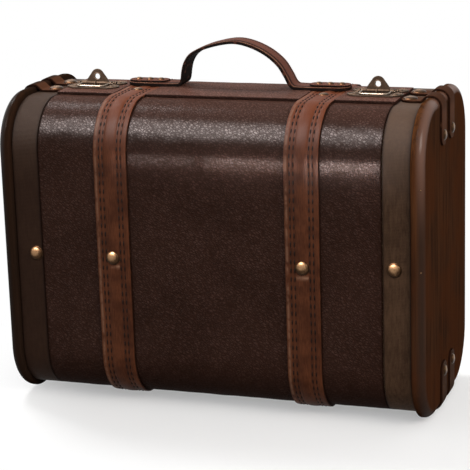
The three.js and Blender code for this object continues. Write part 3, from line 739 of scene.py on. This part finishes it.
def skins():
    """Leather, trim bands, plywood and lining of both halves."""
    s, along = SKIN_LENGTHS, SKIN_LENGTHS[:, None]
    # Painted shadow lines beside each strap: full on its right side, weaker on its left.
    shadow_lines = [(way * STRAP_AT + beside * STRAP_HALF, share)
             for way in ENDS.values() for beside, share in ((-1, 0.4), (1, 1))]
    leather, leather_edge = rounded(leather_low[0], leather_high[0], shadow_lines)
    band, band_edge = rounded(band_low[0], band_high[0])
    leather_x, band_x = leather[:, 0], band[:, 0]
    leather_waves = 0.10 * ripple(leather_x, along, 34, 11) + 0.05 * ripple(leather_x, along, 12, 12)
    band_waves = 0.05 * ripple(band_x, along, 20, 21)
    for half, side in HALVES.items():
        skin(f"{half}_leather_skin", half, 1, leather, leather_edge, leather_waves, "body_leather",
             f"{half}_leather")
        for end, way in ENDS.items():
            skin(f"{half}_trim_band_{end}", half, way, band, band_edge, band_waves, "band",
                 f"{half}_band_{end}")
        piece(f"{half}_plywood_shell", tube(carried(*layer(SHELL_OUT, SHELL_IN), s, side)),
              "plywood", f"{half}_half", replaces=[f"{half}_shell"])
        x, offset = layer(LINING_OUT, LINING_IN)
        shells = [tube(carried(x, offset, s, side), across=x, along=along)]
        y, z = outline(s, LINING_IN, side)
        for way in ENDS.values():
            rings = [np.column_stack([np.full(len(s), way * (LAYER_REACH - depth)), y, z])
                     for depth in (0, LINING_THICKNESS)]
            shells.append(tube(np.stack(rings), across=y))
        piece(f"{half}_cloth_lining", shells, "lining", f"{half}_half", replaces=[f"{half}_lining"])


def board_ring(x, offset, side):
    """A ring round half an end board: the outline, then the round hinge relief, and back up the split.

    Where the ring lies above the relief, a flat stretch takes its place.
    """
    ends = (SPLIT, FLAT, FLAT + QUARTER, FLAT + QUARTER + WALL, OUTLINE - FLAT, OUTLINE - HINGE_RELIEF)
    stretches = [np.linspace(*pair, count)[1:] for *pair, count in zip(ends, ends[1:], (6, 25, 14, 25, 6))]
    y, z = outline(np.concatenate([[SPLIT], *stretches]), offset, 1)
    floor = BOTTOM - offset
    steps = np.linspace(0, 1, 7)
    rise = floor - HINGE_LEVEL
    if rise < HINGE_RELIEF * 0.98:
        low_angle = math.asin(rise / HINGE_RELIEF)
        high_angle = math.acos(SPLIT / HINGE_RELIEF)
        angle = low_angle + (high_angle - low_angle) * steps
        end_y, end_z = HINGE_RELIEF * np.cos(angle), HINGE_LEVEL + HINGE_RELIEF * np.sin(angle)
    else:
        start = HINGE_RELIEF * 0.9
        end_y, end_z = start + (SPLIT - start) * steps, np.full(len(steps), floor)
    y, z = np.concatenate([y, end_y]), np.concatenate([z, end_z])
    return np.column_stack([np.full(len(y), x), side * y, z])


def wooden_ends():
    """The four half boards: rings of the outline over a soft inner edge and a round outer rim."""
    inner = arc((BOARD_INNER + BOARD_INNER_ROUND, -BOARD_INNER_ROUND), BOARD_INNER_ROUND, 180, 90, 6)
    outer = arc((HALF_LENGTH - BOARD_OUTER_ROUND, -BOARD_OUTER_ROUND), BOARD_OUTER_ROUND, 90, 0, 13)
    profile = np.concatenate([inner, outer])
    rub = np.append([0.3, 0.9, 1, 1, 0.6, 0.45, 0.45, 0.35, 0.25, 0.15], np.zeros(9))
    rim = np.append(np.zeros(len(inner)), np.sin(np.linspace(0, TURN / 2, len(outer))))
    for half, side, end, way in QUARTERS:
        grid = np.stack([board_ring(way * x, offset, side) for x, offset in profile])
        piece(f"{half}_wooden_end_{end}", tube(grid, rub=RUBBED_AND_LIT[end] * rub[:, None], rim=rim[:, None]),
              "end_board", f"{half}_half", replaces=[f"{half}_end_board_{end}"])


def strap_height(u, s):
    """How thick a strap is at share u across it (-1 to 1) and length s.

    A crowned rib in the middle, a narrow ridge between the two stitch lines of each side and a rolled
    border rise from the base. The rib stops, with round ends, on each side of the nail.
    """
    a = np.abs(u)
    gap = soft(np.abs(s - WALL_MIDDLE - 1.5), 4.5, 8.5)
    rib = np.sqrt(np.clip(1 - (u / 0.36) ** 2, 0, 1)) * STRAP_RIB * gap
    ridge = 0.32 * np.cos(np.clip((a - 0.55) / 0.09, -1, 1) * TURN / 4) ** 2
    border = 0.42 * np.sqrt(np.clip(1 - ((a - 0.85) / 0.16) ** 2, 0, 1))
    uneven = 0.07 * ripple(u * STRAP_HALF, s, 16, 31)
    return STRAP_BASE + rib + ridge + border + uneven


def straps():
    """Four stitched straps, each in its half, with their threads: a crowned top over straight sides."""
    s = np.append(np.arange(SPLIT, STRAP_END, STRAP_STEP), STRAP_END)
    along = s[:, None]
    top = np.linspace(-0.985, 0.985, 71)
    u = np.concatenate([top, [1, 1, -1, -1]])
    height = strap_height(u, along)
    height[:, len(top):] = STRAP_BASE * np.array([0.72, 0, 0, 0.72])
    edge = np.append(np.zeros(len(top)), np.ones(4))
    # Painted shade along each stitch line.
    groove = np.max([np.exp(-((u - share) / 0.05) ** 2) for share in STITCH_SHARES], axis=0) * (1 - edge)
    # Painted highlights: on the rounded end of the rib below the nail, and along the rolled left border.
    rib_end = np.exp(-((along - WALL_MIDDLE - 8.5) / 1.4) ** 2) * (np.abs(u) < 0.34)
    rolled = 0.6 * np.exp(-((u + 0.86) / 0.07) ** 2)
    marks = {"across": u * STRAP_HALF, "along": along, "edge": edge, "groove": groove,
             "worn": np.maximum(rib_end, rolled)}
    for half, side, end, way in QUARTERS:
        x = way * STRAP_AT + u * STRAP_HALF
        grid = carried(x, STRAP_UNDER + height + swell(along, x), s, side)
        piece(f"{half}_stitched_strap_{end}", tube(grid, **marks),
              "strap_leather", f"{half}_half", replaces=[f"{half}_strap_{end}"])
        stitches(half, side, end, way)


def stitches(half, side, end, way):
    """Threads lying in the stitch lines: each a short rod that dips into the leather at both ends."""
    starts = np.arange(STITCH_PITCH, STRAP_END - STITCH_LENGTH, STITCH_PITCH)
    turn = turns(6)
    t = np.linspace(-1, 1, 6)
    girth = THREAD_RADIUS * np.sqrt(1 - (t * 0.93) ** 2)
    height = STRAP_BASE + 0.10 - 0.28 * t[:, None] ** 2 + np.outer(girth, np.sin(turn))
    shells = []
    for share in STITCH_SHARES:
        x = way * STRAP_AT + share * STRAP_HALF + np.outer(girth, np.cos(turn))
        for start in starts:
            s = start + STITCH_LENGTH / 2 + t * STITCH_LENGTH / 2
            offset = STRAP_UNDER + height + swell(s[:, None], x)
            shells.append(tube(carried(x, offset, s, side)))
    piece(f"{half}_strap_thread_{end}", shells, "thread", f"{half}_half")


def dome(kind, origin, axis, sides=28):
    """A nail's head: a thin flange, then rings of radius r cos a and height h sin a.

    Its crown mark grows towards the middle, where it is rubbed, and on the side that faces up, as a painted
    highlight.
    """
    radius, height = HEADS[kind]
    flange, foot = 0.12, 0.32
    angle = np.radians(np.linspace(0, 84, 11))
    ring_radius = radius * np.concatenate([[0.96, 1], 0.955 * np.cos(angle)])
    level = np.concatenate([[0, flange], foot + (height - foot) * np.sin(angle)])
    turn = turns(sides)
    rings = np.stack([np.outer(ring_radius, np.cos(turn)), np.outer(ring_radius, np.sin(turn)),
                      np.outer(level, np.ones(sides))], axis=-1)
    axis = np.array(axis, float)
    first = np.cross(axis, Z if abs(axis[2]) < 0.9 else X)
    first /= np.linalg.norm(first)
    second = np.cross(axis, first)
    upward = np.cos(turn) * first[2] + np.sin(turn) * second[2]
    tilt = np.concatenate([[1, 1], np.cos(angle)])[:, None]
    crown = np.clip(np.sqrt(1 - tilt ** 2) + 0.45 * tilt * upward, 0, 1) ** 2
    return tube(rings, crown=crown).moved(origin, (first, second, axis))


def nail(name, half, kind, origin, axis, sides=28, replaces=()):
    """A brass nail head that moves with a half of the case."""
    piece(name, dome(kind, origin, axis, sides), "brass", f"{half}_half", replaces=replaces)


def large_nails():
    """A dome nail through each strap and each band, at mid height, set by hand on the front."""
    strap_face, band_face = STRAP_UNDER + STRAP_BASE, LEATHER_OUT
    for half, side, end, way in QUARTERS:
        for kind, place, face in (("strap", STRAP_AT, strap_face), ("band", BAND_NAIL_AT, band_face)):
            shift, lift = NAIL_SHIFTS.get((half, kind, end), (0, 0))
            s = np.array(WALL_MIDDLE + (TOP + BOTTOM) / 2 - NAIL_LEVEL - lift)
            y, z = outline(s, face + NAIL_LIFT + swell(s, place), side)
            nail(f"{half}_{kind}_dome_nail_{end}", half, "large", (way * place + shift, y, z), side * Y,
                 replaces=[f"{half}_{kind}_nail_{end}"])


def rim_pins():
    """Two panel pins on the right rim of the front half, rubbed bright, with a painted highlight on their
    upper side.
    """
    lean = math.asin(1 - PIN_INSET / BOARD_OUTER_ROUND)
    drop = BOARD_OUTER_ROUND * (1 - math.cos(lean))
    for level, height in PIN_LEVELS.items():
        seat = (HALF_LENGTH - PIN_INSET, drop - DEPTH, height)
        nail(f"front_rim_pin_{level}", "front", "pin", seat, (math.sin(lean), -math.cos(lean), 0), 12)


def evenly(path, count):
    """A path's points again, evenly spaced along it, and how far along it each one is."""
    lengths = np.concatenate([[0], np.cumsum(np.linalg.norm(np.diff(path, axis=0), axis=1))])
    places = np.linspace(0, lengths[-1], count)
    return np.column_stack([np.interp(places, lengths, path[:, k]) for k in range(path.shape[1])]), places


def normals(path, places):
    """The upward normal at each point of a path in the plane (u, w)."""
    slope = np.gradient(path, places, axis=0)
    slope /= np.linalg.norm(slope, axis=1)[:, None]
    return np.column_stack([-slope[:, 1], slope[:, 0]])


def strip(path, places, half_width, thickness, step, edge_round=0.45, crown=0.12, dent=None):
    """A flat strap with round ends, carried along a path in the plane (u, w), its width along v.

    Near an end the half width follows a circle of its own radius. The section is a slightly crowned top,
    which dent may change, two softened edges and a flat underside. Returns the grid and its marks: the
    raw edges, and how far across and along the strap each point is.
    """
    normal = normals(path, places)
    from_end = np.minimum(places, places[-1] - places) + 0.08 * half_width
    width = np.sqrt(half_width ** 2 - (half_width - np.minimum(from_end, half_width)) ** 2)
    columns = max(6, int(2 * half_width / step))
    r = edge_round
    side = np.array([thickness - 0.3 * r, thickness - r, 0.4 * r, 0])
    v = np.concatenate([np.linspace(-1, 1, columns), np.repeat([1, -1], STRIP_SIDE_POINTS // 2)])
    w = np.concatenate([np.full(columns, thickness), side, side[::-1]]) + crown * (1 - v ** 2)
    inset = np.append(np.full(columns, r), r * np.array([0.3, 0, 0, 0.3, 0, 0, 0.3, 0.3]))
    if dent is not None:
        w = w + dent(v, places[:, None]) * (np.arange(len(v)) < columns)
    reach = v * np.clip(width[:, None] - inset, 0.02, None)
    grid = np.stack([path[:, :1] + normal[:, :1] * w, reach, path[:, 1:] + normal[:, 1:] * w], axis=-1)
    edge = np.concatenate([[0.6], np.zeros(columns - 2), [0.6], np.ones(STRIP_SIDE_POINTS)])
    return grid, {"edge": edge, "across": v * half_width, "along": places[:, None]}


def corner_tabs():
    """Leather tabs: from the band up over the rim and down the end face, mirrored into all eight places."""
    on_band = LEATHER_OUT + GAP
    path = np.concatenate([
        [[TAB_TOP_END, on_band], [BOARD_INNER - TAB_RAMP, on_band], [BOARD_INNER + GAP, GAP]],
        arc((HALF_LENGTH - BOARD_OUTER_ROUND, -BOARD_OUTER_ROUND), BOARD_OUTER_ROUND + GAP, 90, 0, 15),
        [[HALF_LENGTH + GAP, -TAB_FACE]],
    ])
    fine, places = evenly(path, 92)
    window = np.array([1, 2, 3, 2, 1]) / 9
    eased = fine.copy()
    eased[2:-2] = np.column_stack([np.convolve(fine[:, k], window, "valid") for k in (0, 1)])
    grid, marks = strip(eased, places, TAB_HALF, TAB_THICKNESS, 1.2, crown=0.1)
    # Where the tab lies on the rim: painted shade.
    rim = soft(eased[:, 0], BOARD_INNER - 1, BOARD_INNER + 2)
    rim = rim * (1 - soft(-eased[:, 1], BOARD_OUTER_ROUND, 2 * BOARD_OUTER_ROUND))
    for half, side, end, way in QUARTERS:
        for level, up in LEVELS.items():
            base = TOP if up > 0 else BOTTOM
            centre = side * TAB_CENTRE
            moved = grid * (way, side, up) + (0, centre, base)
            piece(f"{half}_leather_tab_{end}_{level}",
                  tube(moved, groove=TAB_SHADES[end] * rim[:, None], **marks),
                  "tab_leather", f"{half}_half", replaces=[f"{half}_corner_tab_{end}_{level}"])
            seat = (way * BAND_NAIL_AT, centre, base + up * (on_band + TAB_THICKNESS))
            nail(f"{half}_tab_rim_nail_{end}_{level}", half, "rim", seat, up * Z)
            face = (way * (HALF_LENGTH + GAP + TAB_THICKNESS), centre, base - up * FACE_NAIL_DROP)
            nail(f"{half}_tab_face_nail_{end}_{level}", half, "small", face, way * X)


def closure_strips():
    """The raised strips beside the split: a flat profile (y, z) with round upper edges, carried along x."""
    far, near = STRIP_FAR_ROUND, STRIP_SPLIT_ROUND
    profile = np.concatenate([
        [[SPLIT, STRIP_LOW], [STRIP_FAR, STRIP_LOW]],
        arc((STRIP_FAR - far, STRIP_HIGH - far), far, 0, 90, 7),
        arc((SPLIT + near, STRIP_HIGH - near), near, 90, 180, 4),
    ])
    y = profile[:, 0]
    # The edge mark darkens the strip's upright sides: painted shade.
    edge = np.append([1, 1, 1, 1, 1, 0.8, 0.5, 0.2, 0], np.linspace(0, 1, 4))
    for half, side in HALVES.items():
        for part in ("left", "middle", "right"):
            node = f"{half}_closure_strip_{part}"
            low, high = span(node)
            x = np.linspace(low[0], high[0], max(8, int((high[0] - low[0]) / STRIP_STEP)))[:, None]
            z = profile[:, 1] + 0.08 * ripple(x, y, 26, 41)
            grid = np.stack(np.broadcast_arrays(x, side * y, z), axis=-1)
            piece(f"{half}_split_strip_{part}", tube(grid, across=y, along=x, edge=edge),
                  "strip_leather", f"{half}_half", replaces=[node])


def through(knots, count):
    """A smooth curve through knots: centripetal Catmull-Rom, each span a blend of three straight lines."""
    knots = np.array(knots, float)
    knots = np.concatenate([[2 * knots[0] - knots[1]], knots, [2 * knots[-1] - knots[-2]]])
    spans = []
    for p0, p1, p2, p3 in zip(knots[:-3], knots[1:-2], knots[2:-1], knots[3:]):
        steps = [np.linalg.norm(b - a) ** 0.5 for a, b in ((p0, p1), (p1, p2), (p2, p3))]
        t0, t1, t2, t3 = np.cumsum([0, *steps])
        t = np.linspace(t1, t2, 24)[:-1, None]

        def blend(start, end, first, second):
            return (end - t) / (end - start) * first + (t - start) / (end - start) * second

        a1, a2, a3 = blend(t0, t1, p0, p1), blend(t1, t2, p1, p2), blend(t2, t3, p2, p3)
        spans.append(blend(t1, t2, blend(t0, t2, a1, a2), blend(t1, t3, a2, a3)))
    return evenly(np.concatenate([*spans, knots[-2:-1]]), count)


def handle():
    """The handle's strap, its patches and their nails, and the nail on top of each front strap."""
    middle = HANDLE_LOW + HANDLE_THICKNESS / 2
    knots = [(-HANDLE_REACH, middle)]
    knots += [(a * HANDLE_SPAN, middle + up * HANDLE_RISE) for a, up in HANDLE_SHARES]
    knots += [(HANDLE_REACH, middle)]
    line, places = through(knots, 220)
    under = line - normals(line, places) * HANDLE_THICKNESS / 2

    def dent(v, s):
        """A shallow groove inside each edge, and a little unevenness."""
        return -0.25 * np.exp(-((np.abs(v) - 0.8) / 0.06) ** 2) + 0.05 * ripple(v * HANDLE_HALF, s, 18, 51)

    grid, marks = strip(under, places, HANDLE_HALF, HANDLE_THICKNESS, 0.8, 0.8, 0.2, dent)
    grid[..., 1] += HANDLE_CENTRE
    share = np.abs(marks["across"]) / HANDLE_HALF
    top = np.arange(len(share)) < len(share) - STRIP_SIDE_POINTS
    # Lighter lines just inside the edges: partly wear, partly painted highlight beside the crease.
    worn = np.where(top, 0.5 * soft(share, 0.88, 0.96), 0)
    worn[[-STRIP_SIDE_POINTS, -1]] = 1
    marks["worn"] = worn
    # Painted shade along a crease inside each edge.
    marks["groove"] = np.exp(-((share - 0.70) / 0.16) ** 2) * top
    marks["edge"] = np.append(np.zeros(top.sum()), [0.1, 1, 1, 1, 1, 1, 1, 0.1])
    piece("handle_leather", tube(grid, **marks),
          "handle_leather", "back_half", replaces=["handle_strap"])
    low, high = patch_low[0], patch_high[0]
    path, places = evenly(np.array([[low, patch_low[2]], [high, patch_low[2]]]), 40)
    grid, marks = strip(path, places, PATCH_HALF, PATCH_THICKNESS, 1.0, 0.35)
    grid[..., 1] += HANDLE_CENTRE
    for end, way in ENDS.items():
        piece(f"handle_patch_leather_{end}", tube(grid * (way, 1, 1), **marks),
              "handle_leather", "back_half", replaces=[f"handle_patch_{end}"])
        for number in (1, 2, 3):
            x = way * ((low + high) / 2 + (number - 2) * HANDLE_NAIL_PITCH)
            nail(f"handle_nail_{end}_{number}", "back", "handle",
                 (x, HANDLE_CENTRE, patch_low[2] + PATCH_THICKNESS), Z, 20)
        strap_top = TOP + STRAP_UNDER + STRAP_BASE + 2 * NAIL_LIFT
        nail(f"front_strap_top_nail_{end}", "front", "small", (way * STRAP_AT, TOP_NAIL_Y, strap_top), Z)


def rod(radius, start, end):
    """A round rod along x with softened ends."""
    bend = min(0.3, radius * 0.4)
    x = np.array([start, start + bend * 0.3, start + bend, end - bend, end - bend * 0.3, end])[:, None]
    r = radius - bend * np.array([1, 0.35, 0, 0, 0.35, 1])
    y, z = np.outer(r, np.cos(turns(20))), np.outer(r, np.sin(turns(20)))
    return tube(np.stack(np.broadcast_arrays(x, y, z), axis=-1), crown=0.4)


def rods(radius, start, end):
    """Two rods along x, mirrored about the middle of the latch."""
    return [rod(radius, *sorted((side * start, side * end))) for side in BOTH]


def wire(path, radius):
    """A round wire along a flat path: rings that lie across its direction, from the path's own plane."""
    path = np.array(path, float)
    way = np.gradient(path, axis=0)
    way /= np.linalg.norm(way, axis=1)[:, None]
    plane = np.linalg.svd(path - path.mean(0))[2][2]
    first = np.cross(way, plane)
    first /= np.linalg.norm(first, axis=1)[:, None]
    turn = turns(12)[None, :, None]
    return tube(path[:, None] + radius * (first[:, None] * np.cos(turn) + plane * np.sin(turn)), crown=0.6)


def ring(radius, girth, level, centre):
    """A raised ring on a plate: a circle of girth turned round the centre at the radius."""
    turn, section = turns(32), turns(10)
    r = radius + girth * np.cos(section)
    grid = np.stack([centre[0] + np.outer(np.cos(turn), r), centre[1] + np.outer(np.sin(turn), r),
                     level + np.outer(np.ones(len(turn)), girth * np.sin(section))], axis=-1)
    return hoop(grid, crown=0.8)


def bevel(thing, width):
    """A Bevel modifier on a finished piece's sharp edges."""
    modifier = thing.modifiers.new("edges", "BEVEL")
    modifier.width = width * MM
    modifier.segments = 2
    modifier.limit_method = "ANGLE"
    modifier.angle_limit = math.radians(40)


def lobes(y):
    """The round ends of a latch plate, to the right and then to the left."""
    return arc((LOBE_AT, y), LOBE_RADIUS, -90, 90, 19), arc((-LOBE_AT, y), LOBE_RADIUS, 90, 270, 19)


def lobe_trim(y):
    """A raised ring and a screw head on each lobe."""
    shells = []
    for side in BOTH:
        centre = (side * LOBE_AT, y)
        shells.append(ring(LOBE_RADIUS - RING_INSET, RING_GIRTH, PLATE_TOP, centre))
        shells.append(dome("screw", (*centre, PLATE_TOP - SCREW_SINK), Z, 16))
    return shells


def latches():
    """Both latches: back plate with knuckles, pin, hasp, front plate with staple and ears, bail."""
    back_lobe = 1 + LOBE_RADIUS
    front_lobe = FRONT_NEAR - LOBE_RADIUS
    far = front_lobe - LOBE_RADIUS - FRONT_LIP
    back_outline = np.concatenate([
        [[-KNUCKLE_START, KNUCKLE_BACK], [KNUCKLE_START, KNUCKLE_BACK]],
        [[KNUCKLE_START, PLATE_NEAR], [LOBE_AT, PLATE_NEAR]],
        *lobes(back_lobe),
        [[-LOBE_AT, PLATE_NEAR], [-KNUCKLE_START, PLATE_NEAR]],
    ])
    front_outline = np.concatenate([[[-LOBE_AT, far], [LOBE_AT, far]], *lobes(front_lobe)])
    pivot = np.array([0, BAIL_Y, PLATE_TOP + BAIL_LIFT])
    back_plate = [slab(back_outline, -KNUCKLE, PLATE_TOP), *lobe_trim(back_lobe),
                  *rods(KNUCKLE, KNUCKLE_START, KNUCKLE_END)]
    axle = rod(AXLE_RADIUS, -AXLE_END, AXLE_END)
    heads = rods(KNUCKLE, AXLE_HEAD_START, AXLE_HEAD_END)
    front_plate = [slab(front_outline, -KNUCKLE, PLATE_TOP), *lobe_trim(front_lobe), staple(), *ears(pivot)]
    for end, way in ENDS.items():
        origin = np.array([way * LATCH_AT, LATCH_Y, LATCH_Z])
        for name, shells, body, node in (
            ("rear_plate", back_plate, "back_half", "back_plate"),
            ("axle_pin", [axle, *heads], "back_half", "pin"),
            ("tongue", hasp(), f"{end}_hasp", "hasp"),
            ("front_plate", front_plate, "front_half", "front_plate"),
            ("wire_bail", [bail_wire(pivot)], f"{end}_bail", "bail"),
        ):
            material, width = ("wire", WIRE_BEVEL_WIDTH) if node == "bail" else ("bronze", BEVEL_WIDTH)
            thing = piece(f"latch_{name}_{end}", [shell.moved(origin) for shell in shells], material, body,
                          replaces=[f"latch_{node}_{end}"])
            bevel(thing, width)


def staple():
    """A wire bent into a half circle that stands on the front plate."""
    crook = [(0, y, z) for y, z in arc((STAPLE_Y, PLATE_TOP + STAPLE_LIFT), STAPLE_RADIUS, 180, 0, 11)]
    feet = [(0, STAPLE_Y + side * STAPLE_RADIUS, PLATE_TOP - 0.3) for side in BOTH]
    return wire([feet[0], *crook, feet[1]], STAPLE_WIRE)


def ears(pivot):
    """Two round ears that the bail's feet turn in."""
    outer, hole = (arc((0, 0), radius, 0, 345, 24) for radius in (EAR_RADIUS, EAR_HOLE))
    ear = collar(outer, hole, -EAR_HALF_THICKNESS, EAR_HALF_THICKNESS)
    return [ear.moved(pivot + side * EAR_AT * X, (Y, Z, X)) for side in BOTH]


def hasp():
    """The standing tongue: shoulders, a round tip, a round hole with a raised rim, and its knuckle."""
    half, shoulder, tip, tip_radius = 10.7, 3.2, 7.1, 6.4
    hole, hole_radius, half_thickness = 6.4, 2.7, 0.7
    outer = np.concatenate([
        [[-half, 0], [-half / 2, 0], [0, 0], [half / 2, 0], [half, 0]],
        [[half, shoulder / 2], [half, shoulder]],
        arc((0, tip), tip_radius, 30, 150, 26),
        [[-half, shoulder], [-half, shoulder / 2]],
    ])
    angle = np.arctan2(outer[:, 1] - hole, outer[:, 0])
    inner = np.column_stack([hole_radius * np.cos(angle), hole + hole_radius * np.sin(angle)])
    flat = [collar(outer, inner, -half_thickness, half_thickness)]
    flat += [ring(hole_radius + RING_GIRTH, RING_GIRTH, side * half_thickness, (0, hole)) for side in BOTH]
    return [*(shell.moved((0, 0, 0), (X, Z, -Y)) for shell in flat), rod(KNUCKLE, -half, half)]


def bail_wire(pivot):
    """A wire loop from ear to ear, lying forward: feet, two bends, legs, and a bow with round corners."""
    half, length, corner, bend = 13.6, 14.5, 5, 1.3
    foot, foot_end = half + 2.4, half + 3.6
    flat = np.concatenate([
        [[-foot_end, 0], [-foot, 0]],
        arc((-half - bend, -bend), bend, 90, 0, 7),
        arc((corner - half, corner - length), corner, 180, 270, 12),
        arc((half - corner, corner - length), corner, 270, 360, 12),
        arc((half + bend, -bend), bend, 180, 90, 7),
        [[foot, 0], [foot_end, 0]],
    ])
    fine, _ = evenly(flat, 90)
    return wire(np.column_stack([fine, np.zeros(len(fine))]) + pivot, BAIL_WIRE)


def hinges():
    """The hinges under the case keep their own shape and take the dark metal."""
    for node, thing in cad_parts.items():
        if node.startswith("hinge_"):
            thing.data.materials.clear()
            thing.data.materials.append(MATERIALS["bronze"])


def camera():
    """The photograph's view: yaw, pitch and roll about a point just above the middle of the case."""
    yaw, pitch, roll = map(math.radians, (YAW, PITCH, ROLL))
    target = Vector(CAMERA_TARGET) * MM
    forward = Vector((-math.sin(yaw) * math.cos(pitch), math.cos(yaw) * math.cos(pitch), -math.sin(pitch)))
    level = Vector((math.cos(yaw), math.sin(yaw), 0))
    rise = level.cross(forward)
    right = math.cos(roll) * level + math.sin(roll) * rise
    up = -math.sin(roll) * level + math.cos(roll) * rise
    data = bpy.data.cameras.new("camera")
    data.sensor_fit = "HORIZONTAL"
    data.sensor_width = SENSOR
    data.lens = SENSOR * FOCAL_PIXELS / PICTURE_PIXELS
    seat = bpy.data.objects.new("camera", data)
    axes = Matrix((right, up, -forward)).transposed().to_4x4()
    seat.matrix_world = Matrix.Translation(target - forward * CAMERA_DISTANCE) @ axes
    bpy.context.scene.collection.objects.link(seat)
    bpy.context.scene.camera = seat


def softbox(name, place, aim, width, height, watts, matte=True, gloss=True, colour=(1, 1, 1)):
    """A rectangular lamp at a place, turned to a point. It may leave out matte light or highlights."""
    data = bpy.data.lights.new(name, "AREA")
    data.shape = "RECTANGLE"
    data.size, data.size_y = width, height
    data.energy = watts
    data.color = colour
    lamp = bpy.data.objects.new(name, data)
    lamp.visible_camera = False
    lamp.visible_diffuse = matte
    lamp.visible_glossy = gloss
    lamp.location = place
    lamp.rotation_euler = (Vector(aim) - Vector(place)).to_track_quat("-Z", "Y").to_euler()
    bpy.context.scene.collection.objects.link(lamp)


def room():
    """An even world: white where it is seen, and less bright as a light."""
    world = bpy.data.worlds.new("room")
    bpy.context.scene.world = world
    world.use_nodes = True
    world.node_tree.nodes.clear()
    nodes = Nodes(world.node_tree)
    plain, white = (nodes.node("ShaderNodeBackground", values={"Color": WHITE, "Strength": strength})
                    for strength in (WORLD_UNSEEN, WORLD_SEEN))
    nodes.finished("ShaderNodeOutputWorld", nodes.seen(), plain, white)


def pale_floor():
    """A pale floor: matte in an oval near the case, where it keeps the shadow, and white farther out."""
    mesh = bpy.data.meshes.new("floor")
    corners = [(-1, -1), (1, -1), (1, 1), (-1, 1)]
    mesh.from_pydata([(x * FLOOR_REACH, y * FLOOR_REACH, 0) for x, y in corners], [], [(0, 1, 2, 3)])
    floor = bpy.data.objects.new("floor", mesh)
    bpy.context.scene.collection.objects.link(floor)
    material = bpy.data.materials.new("floor")
    material.use_nodes = True
    material.node_tree.nodes.clear()
    nodes = Nodes(material.node_tree)
    seen = nodes.seen()
    matte = nodes.node("ShaderNodeBsdfDiffuse", values={"Color": nodes.mix(seen, FLOOR_UNSEEN, FLOOR_SEEN)})
    glow = nodes.node("ShaderNodeEmission", values={"Color": WHITE})
    oval = nodes.place(Location=(-0.08, 0, 0), Scale=(0.75, 1, 1))
    away = nodes.node("ShaderNodeVectorMath", {"operation": "LENGTH"}, {0: oval}, "Value")
    share = seen * (FLOOR_GLOW + (1 - FLOOR_GLOW) * away.rise(FLOOR_NEAR, FLOOR_FAR))
    nodes.finished("ShaderNodeOutputMaterial", share, matte, glow)
    mesh.materials.append(material)


def lamps():
    """Three soft lamps, and four that only give the leather its shine."""
    aim = (0, 0, 0.15)
    softbox("front", (0.60, -1.40, 1.05), aim, 0.9, 0.9, 8.5, gloss=False)
    softbox("overhead_back", (-0.80, 0.50, 1.45), aim, 0.5, 0.5, 17)
    softbox("right_side", (1.7, -0.9, 1.25), aim, 0.9, 0.9, 21, colour=(1, 0.94, 0.88))
    softbox("high_gloss", (-0.45, -0.823, 1.346), (0, -0.09, 0.26), 0.8, 0.8, 140, matte=False, colour=WARM)
    for number, (x, width, watts) in enumerate(LOW_GLOSS):
        softbox(f"low_gloss_{number}", (x, -0.117, LOW_GLOSS_LEVEL), (x, -0.09, LOW_GLOSS_LEVEL),
                width, 0.01, watts, matte=False, colour=WARM)


skins()
wooden_ends()
straps()
large_nails()
rim_pins()
corner_tabs()
closure_strips()
handle()
latches()
hinges()
camera()
room()
pale_floor()
lamps()
bpy.context.scene.view_settings.view_transform = "Standard"
